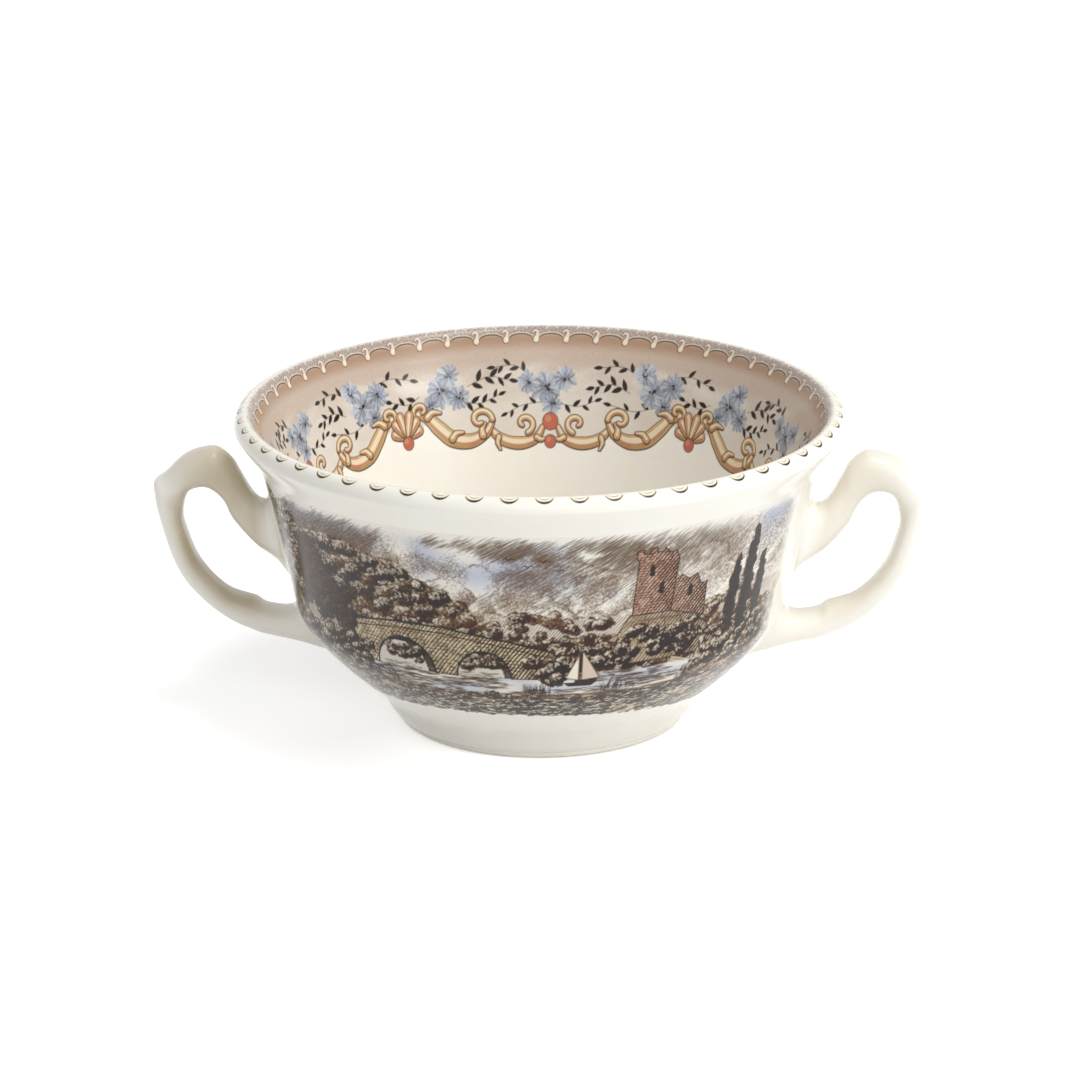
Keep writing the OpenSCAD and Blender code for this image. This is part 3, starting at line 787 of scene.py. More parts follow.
def clump(s, cx, cy, rx, ry, base, share, light="cream", dark="dark"):
    """A mass of leaves: a ragged patch of ink, with pale strokes on its lit side and dark ones on the other."""
    seed = int(s.rng.integers(1000))
    where = s.around([(cx, cy)], [rx * 1.5, ry * 1.5])
    x, y = s.x[where], s.y[where]
    if x.size == 0:
        return
    d = np.hypot((x - cx) / rx, (y - cy) / ry) + (drift(x, y, 1.3, seed, 3) - 0.5) * 1.1
    s.lay(ease(d, 1.12, 0.95) * share, base, where)
    n = int(rx * ry * LEAVES_PER_MM)
    r, th = np.sqrt(s.rng.random(n)) * 1.02, s.rng.random(n) * 2 * np.pi
    px, py = r * np.cos(th), r * np.sin(th)
    glow = 0.5 + 0.5 * (px * LIGHT_WAY[0] + py * LIGHT_WAY[1]) + s.about(0, 0.16, n)
    turn = th + np.pi / 2 + s.about(0, 0.5, n)
    size = s.between(0.3, 0.7, n)

    def leaves(some, bend, weight, ink):
        s.strokes(cx + rx * px[some], cy + ry * py[some], turn[some], size[some], size[some] * bend, weight, ink, 5)

    lit = glow > 0.64
    if lit.any():
        leaves(lit, 0.3, s.between(0.5, 1.3, lit.sum()), light)
    shaded = (glow < 0.5) & (s.rng.random(n) < 0.8)
    if shaded.any():
        leaves(shaded, -0.3, np.full(shaded.sum(), 1.8), dark)


def thicket(s, count, across, height, rx, ry, tones, share, dark="dark"):
    """Many clumps between two places across. height draws a clump's height at its place."""
    for _ in range(count):
        cx = s.between(*across)
        clump(s, cx, height(cx), s.between(*rx), s.between(*ry), s.any_of(*tones), share, dark=dark)


def great_tree(s, x, foot, top, spread, base, light):
    h, lean = top - foot, s.about(0, 0.6)
    for k in (-1, 1, 0):
        bend, tip = (x + lean * 0.4 + k * 0.3, foot + h * 0.3), (x + lean + k * spread * 0.45, foot + h * 0.62)
        s.brush([(x, foot), bend, tip], [0.7, 0.42, 0.21], "brown")
    spots = []
    for _ in range(40):
        th, r = s.rng.random() * 2 * np.pi, np.sqrt(s.rng.random())
        spots.append((x + lean + spread * r * np.cos(th) * 0.8, foot + h * 0.66 + h * 0.30 * r * np.sin(th)))
    for cx, cy in sorted(spots, key=lambda p: -p[1]):
        size = spread * s.between(0.19, 0.33)
        clump(s, cx, cy, size * 1.15, size * 0.85, base, 1.0, light)


def poplar(s, x, foot, top, width):
    s.brush([(x, foot), (x, foot + 3)], [0.35, 0.25], "brown")
    for t in np.arange(9) / 8:
        w = width * (0.55 + 0.9 * np.sin(np.pi * (0.12 + 0.8 * t))) * 0.6
        y = foot + 2 + (top - foot - 2) * t
        clump(s, x + s.about(0, 0.15), y, w, (top - foot) * 0.1, "moss", 0.95, "stipple")


# %% Stonework
def stonework(s, outline, tint, strength, course, block, shade):
    """A wall of stones, course high and block long. Its shadow grows from the first x of shade to the second."""
    outline = np.asarray(outline, float)
    s.area(outline, "cream")
    s.area(outline, tint, strength)
    where = s.around(outline)
    x, y = s.x[where], s.y[where]
    inside = inside_of(outline, x, y)
    uneven = (drift(x, y, 2.0, 5, 2) - 0.5) * 0.35
    row = np.floor((y + uneven) / course)
    joint_y = np.abs((y + uneven) / course - row - 0.5) > 0.5 - 0.09 / course
    joint_x = np.abs(((x + uneven + row * 0.77) / block) % 1 - 0.5) > 0.5 - 0.09 / block
    s.lay(inside * ((joint_y | joint_x) & (drift(x, y, 0.9, 9, 2) > 0.40)) * 0.75, "brown", where)
    blotch = inside * (drift(x, y, 1.5, 17, 3) > 0.56)
    s.lay(blotch * 0.35, "brick" if tint == "salmon" else "stipple", where)
    tone = inside * np.clip((x - shade[0]) / (shade[1] - shade[0]), 0, 1)
    s.rule(tone * 0.6, 0.9, 0.62, "dark", where)
    s.brush(outline, 0.11, "dark", 0.9, closed=True)


# %% [markdown]
# ### Far things
# The sky is cut in sheaves of slanting lines, as a ruling tool leaves them, with clouds in fine stipple. Two ranges of
# hills follow, ruled lightly, then the woods.

# %% Sky and clouds
def draw_sky(s):
    x, y, seed = s.x, s.y, s.seed
    s.lay(ease(drift(x, y, 16, seed + 1), 0.42, 0.7) * ease(y, 28, 38) * ease(y, 43.5, 40.5) * 0.8, "sky")
    s.lay(ease(drift(x, y, 20, seed + 2), 0.5, 0.75) * ease(y, 20, 26) * ease(y, 40, 30) * 0.25, "ochre")
    sheaves, lines = 620, 13
    one, each = (sheaves, 1), (sheaves, lines)
    cx, cy = s.between(-62, 62, sheaves), 42.5 - np.abs(s.about(0, 5.5, sheaves))
    slant = 0.60 + 0.25 * ease(cx, 12, 40) + s.about(0, 0.04, sheaves)
    across = (np.arange(lines) - lines / 2)[None, :] * 0.5 + s.about(0, 0.06, each)
    along = s.about(0, 0.8, each)
    angle = slant[:, None] + s.about(0, 0.03, each)
    px = cx[:, None] - across * np.sin(angle) + along * np.cos(angle)
    py = cy[:, None] + across * np.cos(angle) + along * np.sin(angle)
    long = s.between(1.4, 4.2, one) * s.between(0.7, 1.2, each)
    weight = s.between(0.25, 0.9, one) * s.between(0.7, 1.1, each) * (1 - 0.7 * ease(px, 14, 44))
    keep = (py > 24) & (py + 0.35 * long < 44.6 - np.abs(s.about(0, 0.8, each)))
    keep &= drift(px * 0.8 - py * 0.5, py * 1.6 + px * 0.3, 9, seed + 3, 2) > 0.44
    s.strokes(px[keep], py[keep], angle[keep], long[keep], s.about(0, 0.08, keep.sum()), weight[keep], "sky_line", 24)


PUFFS = [(-6, 32, 7), (2, 30, 7), (9, 34, 6), (16, 31, 7), (33, 35, 6), (38, 29, 8), (51, 33, 6), (-13, 31, 5),
         (4, 25, 6), (55, 26, 6)]
CLOUD_DOTS = 260000


def draw_clouds(s):
    x, y, seed = s.x, s.y, s.seed
    tone = np.zeros(x.shape)
    for cx, cy, r in PUFFS:
        d = np.hypot(x - cx, (y - cy) * 1.35) / r + (drift(x, y, 3.0, seed + 5) - 0.5) * 0.7
        side = (x - cx) / r * 0.7 - (y - cy) / r * 0.8
        tone = np.where(d < 1, ease(side, 0.1, 0.9) * 0.9 + ease(d, 0.84, 1.0) * 0.6, tone)
    open_sky = ease(drift(x, y, 8, seed + 6), 0.3, 0.6) * (0.14 + 0.4 * ease(y, 24, 33))
    open_sky = open_sky * (1 + 0.6 * ease(-x, -2, 14) - 0.4 * ease(x, 20, 44))
    tone = np.where(tone > 0, tone, open_sky) * (1 - ease(y, 37, 43))
    px, py = s.between(-SCENE_HALF, SCENE_HALF, CLOUD_DOTS), s.between(20, 44, CLOUD_DOTS)
    i, j = ((np.stack([px, py]) - s.corner[:, None]) / s.size[:, None] * [[s.nx - 1], [s.ny - 1]]).astype(int)
    keep = s.rng.random(CLOUD_DOTS) < tone[j, i]
    s.dots(px[keep], py[keep], 0.48, "stipple")


# %% Hills and woods
def along_x(x, size, seed):
    return drift(x, x * 0, size, seed)


def draw_hills(s):
    x, y, seed = s.x, s.y, s.seed
    ridge = 24.5 + 5 * (along_x(x, 20, seed + 7) - 0.35) + along_x(x, 3, seed + 8)
    hill = ease(ridge - y, 0, 0.3) * (y > 12)
    s.lay(hill, "cream")
    s.lay(hill * 0.55, "far_hill")
    s.rule(hill * (0.05 + 0.4 * drift(x, y, 4, seed + 9)), 1.0, 0.5, "stipple", wobble=0.5)
    near = 20.5 + 7 * (along_x(x, 15, seed + 17) - 0.4) + 0.8 * along_x(x, 2, seed + 18)
    slope = ease(near - y, 0, 0.3) * (y > 8)
    s.lay(slope, "cream")
    s.lay(slope * (0.35 + 0.4 * drift(x, y, 5, 3)), "stone")
    s.rule(slope * (0.05 + 0.5 * drift(x, y, 3, seed + 19)), -0.35, 0.5, "stipple", wobble=0.6)
    for _ in range(150):
        cx = s.between(-60, 60)
        top_y, r = 20.5 + 7 * (along_x(cx, 15, seed + 17) - 0.4), s.between(0.7, 1.5)
        clump(s, cx, top_y - s.between(-1.2, 5), r * 1.3, r, s.any_of("stipple", "brown", "moss"), 0.85)


def draw_woods(s):
    """Trees on the middle ground, and a wooded hill left of the middle."""
    thicket(s, 170, (-14, 60), lambda cx: s.between(18, 25.5 + 2.6 * np.sin(cx * 0.19 + 1) + 1.2 * np.sin(cx * 0.55)),
            (1.0, 2.0), (0.8, 1.4), ("stipple", "stipple", "brown", "moss"), 0.85, "brown")
    for _ in range(230):
        cx = s.between(-54, -8)
        top_y = 36.5 - 0.014 * (cx + 36) ** 2
        cy = s.between(21, top_y) if s.rng.random() < 0.8 else top_y
        r = s.between(1.1, 2.2)
        tone = s.any_of("stipple", "stipple", "brown", "moss", "plum")
        clump(s, cx, cy, r * 1.2, r * 0.9, tone, 0.8, dark="brown" if tone == "stipple" else "dark")


# %% [markdown]
# ### Middle distance
# A ruined tower stands on its rock to the right of the middle. The river runs below it, under the bridge and past the
# boat.

# %% Tower and river
ROCK = [(13, 16), (15.5, 21), (18, 22.5), (20, 26), (24, 27.5), (30, 27), (33, 24), (36, 22), (40, 16)]
RUIN = [(28, 26), (28, 32.0), (29.4, 33.4), (31, 32.2), (32.5, 33), (33.8, 30.5), (35, 30.8), (35.4, 23.5)]
TOWER = [(20.5, 26), (20.9, 37.6), (20.4, 38.2), (20.4, 39.8), (21.6, 39.8), (21.6, 39.0), (22.8, 39.0), (22.8, 40),
         (24, 40), (24, 39.1), (25.4, 39.1), (25.4, 39.9), (26.6, 38.6), (27.6, 38.9), (28.4, 37.2), (28.0, 26)]
WINDOWS = [(23.5, 34.5), (25.6, 30.6), (31.6, 28.9)]


def draw_tower(s):
    stonework(s, ROCK, "stone", 0.8, 1.9, 3.3, (14, 42))
    stonework(s, RUIN, "salmon", 0.8, 0.58, 0.95, (24, 36))
    stonework(s, TOWER, "salmon", 0.85, 0.58, 1.0, (19, 30))
    for x, y in WINDOWS:
        s.brush([(x, y), (x, y + 1.5)], [0.5, 0.42], "dark")
    thicket(s, 70, (10, 42), lambda cx: s.between(15.5, 20.5) + 4 * (abs(cx - 26) < 7) * s.rng.random(),
            (1.0, 2.0), (0.8, 1.5), ("moss", "brown", "plum"), 0.92)


def draw_river(s):
    x, y, seed = s.x, s.y, s.seed
    bank = 15.0 + 1.4 * (along_x(x, 7, seed + 21) - 0.5)
    water = ease(bank - y, 0, 0.4) * ease(y, 7.5, 9) * ease(x, -36, -33) * ease(x, 40, 34)
    s.lay(water, "water")
    s.lay(water * ease(drift(x * 0.25, y, 2.0, seed + 22), 0.45, 0.6) * 0.5, "sky")
    px, py = s.between(-34, 38, 2600), s.between(8, 15.2, 2600)
    keep = drift(px * 0.2, py, 1.6, seed + 23, 2) > 0.46
    pen(s, px[keep], py[keep], (0, 0.03), (0.8, 3.2), (0, 0.06), (0.5, 1.3), "brown", 18)


# %% Bridge and boat
SPRING = 13.6
DECK = [(5.5, 19.6), (-2, 21.6), (-14, 23.6), (-24, 23.4), (-34, 21.8)]
HULL = [(8.2, 12.6), (9.2, 11.5), (13.4, 11.5), (14.8, 12.8)]
SAIL, JIB = [(11.6, 13.2), (15.0, 13.6), (11.7, 19.6)], [(11.0, 13.2), (8.6, 13.8), (11.1, 18.6)]


def draw_bridge(s):
    a = np.linspace(np.pi, 0, 26)
    arches = [oval(-22.5, SPRING, 6.3, 6.6, a), oval(-6.6, SPRING, 5.2, 5.6, a)]
    for arch in arches:
        s.area(arch, "dark", 0.82)
        beyond = arch * 0.87 + [arch[:, 0].mean() * 0.13 - 0.7, SPRING * 0.13]
        middle_x = beyond[:, 0].mean()
        s.area(beyond, "far_bank")
        pen(s, middle_x + s.between(-4, 4, 60), 13.0 + s.between(0, 1.8, 60), 0, (0.6, 2.0), 0, (0.4, 1.1), "brown", 12)
        for _ in range(16):
            cx = middle_x + s.between(-4.2, 4.2)
            clump(s, cx, 15.8 + s.between(0, 2.4), 1.1, 0.8, "brown", 0.85)
    outline = np.vstack([[(-34, SPRING)], *arches, [(5.5, SPRING)], DECK])
    stonework(s, outline, "ochre", 0.8, 0.7, 1.25, (-46, 16))
    for arch in arches:
        centre = arch.mean(0) * [1, 0] + [0, SPRING]
        for point in arch[::2]:
            out = (point - centre) / np.linalg.norm(point - centre)
            s.brush([point, point + out * 1.1], 0.09, "dark")
        s.brush(arch, 0.16, "dark")
    s.brush(np.array(DECK) - [0, 1.3], 0.12, "brown")
    s.brush(DECK, 0.2, "dark")
    for _ in range(45):
        cx = s.rng.choice([-35.5, 6.5]) + s.about(0, 1.8)
        clump(s, cx, s.between(12.6, 17.5), s.between(1.2, 2.1), s.between(0.9, 1.5), s.any_of("moss", "brown"), 0.95)


def draw_boat(s):
    s.area(HULL, "dark", 0.95)
    s.brush([(11.2, 12.5), (11.4, 20.2)], 0.12, "dark")
    s.area(SAIL, "cream")
    s.area(SAIL, "salmon", 0.45)
    s.area(JIB, "cream")
    for sail in (SAIL, JIB):
        s.brush(sail, 0.09, "brown", closed=True)


# %% [markdown]
# ### Near things
# Poplars stand on the right bank and great trees at the left. In front lies rough ground with reeds. At last the
# picture is trimmed to a ragged edge and fully inked: fine lines close up a little and dark ones print black-brown. A
# thin brown wash by hand then tints the bare glaze between the lines, most in the foreground.

# %% Trees
def draw_trees(s):
    for x, top, width in ((42.0, 33, 1.7), (45.6, 37.5, 1.9), (49.6, 32, 1.6)):
        poplar(s, x, 15.5, top, width)
    thicket(s, 150, (34, 62), lambda cx: s.between(8.5, 15.0 + 0.3 * (cx - 34)), (1.0, 2.0), (0.8, 1.5),
            ("moss", "brown", "stipple", "plum"), 0.85)
    for x, foot, top, spread in ((-57, 12, 42, 6), (-50.5, 11, 41, 6.5), (-43, 12, 37, 5.5), (-37.5, 10, 30, 4.5),
                                 (-60, 9, 34, 5)):
        great_tree(s, x, foot, top, spread, s.any_of("moss", "brown", "plum"), "cream" if x < -50 else "stipple")
    thicket(s, 170, (-62, -32), lambda cx: s.between(7, 17.5), (1.0, 2.1), (0.8, 1.5), ("brown", "moss", "plum"), 0.95)


# %% Foreground
SOIL_PATCHES = [("ochre", 32, 0.4, 3.0, 0.4, 0.6, 0.6), ("mauve", 33, 0.5, 3.2, 0.56, 0.68, 0.6),
                ("green", 34, 0.5, 3.2, 0.56, 0.68, 0.6), ("salmon", 35, 0.5, 3.2, 0.56, 0.68, 0.6),
                ("brown", 37, 0.35, 2.4, 0.44, 0.62, 0.75)]


def on_ground(s, n, low, rise):
    """Random places on the near ground, which is higher at the picture's ends."""
    px = s.between(-SCENE_HALF, SCENE_HALF, n)
    py = s.between(low, 1, n) + (rise + 2.8 * ease(np.abs(px), 26, 50)) * s.rng.random(n)
    return px, py


def draw_foreground(s):
    x, y, seed = s.x, s.y, s.seed
    far_edge = 9.4 + 1.6 * (along_x(x, 8, seed + 31) - 0.5) + 2.6 * ease(np.abs(x), 26, 50)
    soil = ease(far_edge - y, 0, 0.5)
    s.lay(soil, "stone")
    for ink, k, squash, size, low, high, share in SOIL_PATCHES:
        s.lay(soil * ease(drift(x * squash, y, size, seed + k), low, high) * share, ink)
    px, py = on_ground(s, 24000, -5.5, 8.6)
    keep = drift(px * 0.3, py, 2.2, seed + 36, 3) > 0.40
    pen(s, px[keep], py[keep], (0.02, 0.12), (0.5, 2.2), (0, 0.18), (0.8, 2.0), "dark", 16)
    px, py = on_ground(s, 1700, -5, 8.4)
    pen(s, px, py, (0.02, 0.15), (0.5, 1.6), (0, 0.15), 1.5, "cream", 10)
    for _ in range(200):
        cx = s.between(-60, 60)
        cy = s.between(-2.5, 9.4 + 3.4 * ease(abs(cx), 26, 46))
        if -30 < cx < 34 and s.rng.random() < 0.35:
            continue
        clump(s, cx, cy, s.between(0.8, 1.8), s.between(0.5, 1.0), s.any_of("brown", "moss", "dark"), 0.9)
    for cx in (-30, -26.5, 1.5, 4, 17, 19.5, 33):
        reed_x, reed_y = cx + s.about(0, 0.9, 16), 10.4 + s.about(0, 0.6, 16)
        pen(s, reed_x, reed_y, (np.pi / 2, 0.16), (2, 4.6), (0, 0.3), 1.5, "moss", 24)
    for bx, by in ((2, 37.5), (4.6, 38.6), (-1.2, 39.0), (7.0, 36.6)):
        s.brush([(bx - 0.8, by + 0.35), (bx - 0.3, by + 0.45), (bx, by), (bx + 0.35, by + 0.5), (bx + 0.9, by + 0.3)],
                0.08, "dark")


# %% Trimming and inking, and the whole scene
LINES_CLOSE_UP, DARKER_BY, DARKEST = 1.5, [0.036, 0.047, 0.053], [0.011, 0.008, 0.006]


def trim_and_ink(s):
    x, y, seed = s.x, s.y, s.seed
    rag = drift(x, y, 1.6, seed + 41, 3) - 0.5
    low_line = -5.3 + 5.6 * (1 - ((x + 4) / 58) ** 2) + rag * 2.2
    edge = ease(y - low_line, 0, 0.5) * ease(44.8 - y, 0, 0.6)
    edge *= ease(x + 60.4 + rag * 2.0, 0, 0.9) * ease(59.5 + rag * 3 - x, 0, 7)
    own = s.ink / np.maximum(s.cover, 1e-6)[..., None]
    s.cover = (1 - (1 - s.cover) ** LINES_CLOSE_UP) * edge
    s.ink = np.maximum(own - DARKER_BY, DARKEST) * s.cover[..., None]
    bare = (1 - s.cover) * edge * (0.1 + 0.42 * ease(y, 32, 8)) * (0.6 + 0.8 * drift(x, y, 9, seed + 43, 3))
    s.ink += bare[..., None] * s.inks["wash"]
    s.cover += bare


def river_scene(seed):
    s = Sheet(SCENE_INKS, seed, 2 * SCENE_HALF, SCENE_HIGH, SCENE_CELL, SCENE_LOW)
    for draw in (draw_sky, draw_clouds, draw_hills, draw_woods, draw_tower, draw_river, draw_bridge, draw_boat,
                 draw_trees, draw_foreground, trim_and_ink):
        draw(s)
    print("river scene", seed, "covers", round(float(s.cover.mean()), 3), "of its sheet")
    return s.picture()


# %% [markdown]
# ## The border and the lip ornament
# Inside runs a repeat of ordinary scrolls, shells, berries and sprays of blossom under a warm wash. One unit is drawn
# and repeated round the wall. The lip has its own narrow strip of crescents, dots, arches and hanging drops.

# %% Colours and lines of the border
WASHES = {name: linear(*tint) for name, tint in {
    "outline": (90, 62, 46), "ochre": (206, 172, 120), "pale": (242, 232, 206), "salmon": (200, 136, 104),
    "umber": (142, 92, 62), "coral": (192, 106, 84), "blue": (146, 154, 170), "ice": (190, 196, 205),
    "slate": (84, 85, 95), "leaf": (40, 28, 19), "peach": (170, 135, 106), "beige": (211, 198, 185),
    "mauve": (154, 130, 121), "grey": (98, 82, 78), "pearl": (228, 210, 194)}.items()}


def arc_points(knots, steps=14):
    """A smooth line through a few knots."""
    k = np.asarray(knots, float)
    return run_through(np.vstack([2 * k[0] - k[1], k, 2 * k[-1] - k[-2]]), steps)


def curl(cx, cy, r0, r1, a0, a1):
    """Part of a spiral about a centre."""
    t = np.linspace(0, 1, 30)
    a, r = np.radians(a0 + (a1 - a0) * t), r0 + (r1 - r0) * t
    return oval(cx, cy, r, r, a)


def heading(angle):
    return np.array([np.cos(angle), np.sin(angle)])


# %% Scrolls and berries
def scroll(s, points, radii):
    """A modelled scroll: brown outline, ochre body, a pale light along its upper side and a warm end."""
    p = np.asarray(points)
    r = np.interp(np.linspace(0, 1, len(p)), np.linspace(0, 1, len(radii)), radii)
    up = np.outer(r, [0.0, 1.0])
    end = int(len(p) * 0.66)
    s.brush(p - [0.0, 0.1], r + 0.26, "outline", 0.95)
    s.brush(p, r, "ochre")
    s.brush(p[end:], r[end:] * 0.85, "salmon", 0.8)
    s.brush(p - up * 0.62, r * 0.36, "umber", 0.45)
    s.brush(p - up * 0.25, r * 0.45, "salmon", 0.35)
    s.brush(p + up * 0.22, np.maximum(r * 0.4, 0.1), "pale", 0.75)


def lobes(s, p, side, count, size):
    """Leaf-like fingers along one side of a scroll, each with a warm tip."""
    for k in range(count):
        i = int((0.2 + 0.6 * k / (count - 1)) * (len(p) - 1))
        d = (p[i + 1] - p[i - 1]) / np.linalg.norm(p[i + 1] - p[i - 1])
        n, long = np.array([-d[1], d[0]]) * side, size * (1 - 0.13 * k)
        finger = arc_points([p[i], p[i] + n * long * 0.6 + d * long * 0.25, p[i] + n * long + d * long * 0.95], 8)
        scroll(s, finger, [0.3 * size, 0.24 * size, 0.1 * size])


def berry(s, x, y, r):
    s.brush([(x, y), (x, y + 0.01)], r + 0.2, "outline", 0.9)
    s.brush([(x, y), (x, y + 0.01)], r, "coral")
    s.brush([(x - r * 0.3, y + r * 0.35), (x - r * 0.28, y + r * 0.35)], r * 0.42, "salmon")


# %% Leaves and blossom
def leaf(s, point, angle, size):
    t = np.linspace(0, 1, 9)[:, None]
    s.brush(point + t * heading(angle) * size, 0.05 + 0.2 * size * np.sin(np.pi * t[:, 0] ** 0.8), "leaf")


def spray(s, knots, sizes):
    """A thin stem with leaves to both sides and one at its end."""
    p = arc_points(knots, 8)
    s.brush(p, 0.07, "leaf", 0.8)
    last, count = len(p) - 1, 2 * len(sizes)
    for k in range(count):
        i = int((k + 1) / (count + 0.6) * last)
        d = p[min(i + 1, last)] - p[i - 1]
        leaf(s, p[i], np.arctan2(d[1], d[0]) + (0.8 if k % 2 else -0.8), sizes[k // 2])
    leaf(s, p[-1], np.arctan2(*(p[-1] - p[-2])[::-1]), sizes[-1])


PETALS = 12


def blossom(s, rng, x, y, r):
    """A ragged flower of many narrow petals in three tones, with dark veins and a dark heart."""
    middle_point, between = np.array([x, y]), rng.uniform
    s.brush([(x, y), (x + 0.01, y)], 0.78 * r, "blue", 0.6)
    for k in rng.permutation(PETALS):
        a = 2 * np.pi * (k + between(-0.2, 0.2)) / PETALS
        long = r * between(0.78, 1.06)
        tone = ["blue", "blue", "ice", "slate"][int(rng.integers(4))]
        reach = np.array([0.1, 0.6, 0.86, 1.0])[:, None] * long
        s.brush(middle_point + reach * heading(a), np.array([0.05, 0.16, 0.17, 0.07]) * r, tone,
                0.5 if tone == "slate" else 0.85)
        s.brush(middle_point + reach[1:] * heading(a + 0.12), np.array([0.07, 0.06, 0.03]) * r, "ice", 0.8)
    for k in range(PETALS):
        a = 2 * np.pi * (k + 0.5 + between(-0.25, 0.25)) / PETALS
        s.brush(middle_point + np.array([[0.15], [between(0.45, 0.9)]]) * r * heading(a), [0.07, 0.03], "slate", 0.75)
    for _ in range(5):
        c = middle_point + rng.normal(0, 0.13 * r, 2)
        s.brush([c, c + 0.05], 0.08 * r, "leaf", 0.85)


# %% Border unit
UNIT, HIGH, BORDER_CELL, UNITS_ROUND = 65.7, 20.4, 0.15, 5
WIDE = UNIT / 54.75
SPRAYS = [
    ((3.4, 12.8), (1.0, 11.6), (-2.2, 12.6), [2.1, 1.9]), ((12.6, 13.6), (16.4, 15.2), (20.2, 14.4), [2.3, 2.2, 1.9]),
    ((11.6, 10.8), (14.8, 10.2), (18.2, 11.6), [2.1, 1.9, 1.6]), ((-5.2, 16.6), (-1.4, 17.2), (2.2, 16.2), [1.9, 1.8]),
    ((-13, 12.4), (-16.2, 13.8), (-19.6, 13), [2.3, 2.1, 1.8]), ((26.2, 10.0), (22.4, 9.4), (19.6, 8.0), [1.7, 1.5]),
    ((-11.8, 15.8), (-14.8, 17.4), (-18.4, 17.0), [1.9, 1.8]), ((23.6, 15.2), (21.2, 17.2), (17.8, 17.0), [1.9, 1.7]),
    ((-7.6, 10.4), (-12.0, 9.0), (-16.4, 9.8), [1.9, 1.7]), ((28.6, 9.8), (32.4, 9.2), (35.4, 10.4), [1.9, 1.6])]
FLOWERS = [(-8.6, 13.0, 3.3), (-10.6, 16.4, 2.3), (-5.0, 14.6, 2.5), (-6.4, 10.4, 2.1), (7.6, 13.4, 3.1),
           (10.9, 11.6, 2.4), (5.4, 10.7, 2.0), (9.4, 16.2, 2.2), (26.8, 12.8, 3.2), (23.4, 13.8, 2.2),
           (29.9, 14.6, 2.3), (27.6, 9.6, 2.0)]
LOW_SCROLL = [(16.0, 5.6), (18.4, 3.0), (21.6, 2.1), (24.6, 2.9), (26.0, 5.2)]
MAIN_SCROLL = [(1.4, 9.6), (4.2, 8.9), (6.4, 6.4), (9.0, 3.9), (12.4, 3.1), (15.4, 4.4), (16.9, 6.8)]


def border_unit():
    s = Sheet(WASHES, 21, UNIT, HIGH, BORDER_CELL)
    x, y = s.x, s.y
    shifts = (-UNIT, 0, UNIT)
    turn = 2 * np.pi * x / UNIT
    ground = ease(y - (4.3 + 2.1 * np.cos(turn) + 0.9 * np.cos(2 * turn)), 0, 0.5)
    cloud = (drift(25 + 5 * np.cos(turn), y + 5 * np.sin(turn), 3.4, 4, 4) - 0.5) * ease(y, 18.9, 16.5)
    s.lay(ground * np.clip(0.7 + 0.5 * cloud, 0, 1), "beige")
    s.lay(ground * ease(y + 4.5 * cloud, 13.5, 18.5) * 0.5, "peach")
    s.lay(ground * (s.rng.random(x.shape) > 0.8) * ease(y, 6, 19) * 0.28, "mauve")
    for dx in shifts:
        for *knots, sizes in SPRAYS:
            spray(s, [(kx * WIDE + dx, ky) for kx, ky in knots], [1.05 * size for size in sizes])
    for number, (bx, by, r) in enumerate(FLOWERS):
        for dx in shifts:
            blossom(s, np.random.default_rng(50 + number), dx + bx * WIDE, by, 1.1 * r)
    for dx in shifts:
        for mirror in (-1, 1):
            def placed(points):
                return np.asarray(points) * [mirror * WIDE, 1] + [dx, 0]

            low_scroll, main_scroll = placed(arc_points(LOW_SCROLL)), placed(arc_points(MAIN_SCROLL))
            scroll(s, low_scroll, [0.4, 1.0, 1.15, 0.85, 0.45])
            lobes(s, low_scroll, -mirror, 2, 1.8)
            scroll(s, placed(curl(22.6, 5.9, 1.9, 0.5, -70, 230)), [0.5, 0.5, 0.35])
            scroll(s, main_scroll, [0.4, 1.0, 1.4, 1.5, 1.3, 0.9, 0.4])
            lobes(s, main_scroll, mirror, 3, 2.3)
            scroll(s, placed(curl(14.6, 7.0, 2.2, 0.55, 0, 290)), [0.5, 0.55, 0.35])
            scroll(s, placed(curl(3.4, 10.0, 1.7, 0.4, 215, -60)), [0.4, 0.5, 0.3])
    for dx in shifts:
        for a, long in ((158, 3.3), (22, 3.3), (130, 4.0), (50, 4.0), (105, 4.5), (75, 4.5)):
            rib = np.array([dx, 5.2]) + np.linspace(0.4, long, 12)[:, None] * heading(np.radians(a))
            scroll(s, rib, [0.25, 0.6, 0.85, 0.9])
        berry(s, dx, 4.3, 1.25)
        berry(s, dx + UNIT / 2, 6.2, 1.6)
        berry(s, dx + UNIT / 2, 2.3, 1.2)
    return s.picture()


# %% Lip unit
EDGE_UNIT, EDGE_HIGH, EDGE_CELLS, EDGES_ROUND = 6.732, 10.2, 56, 56


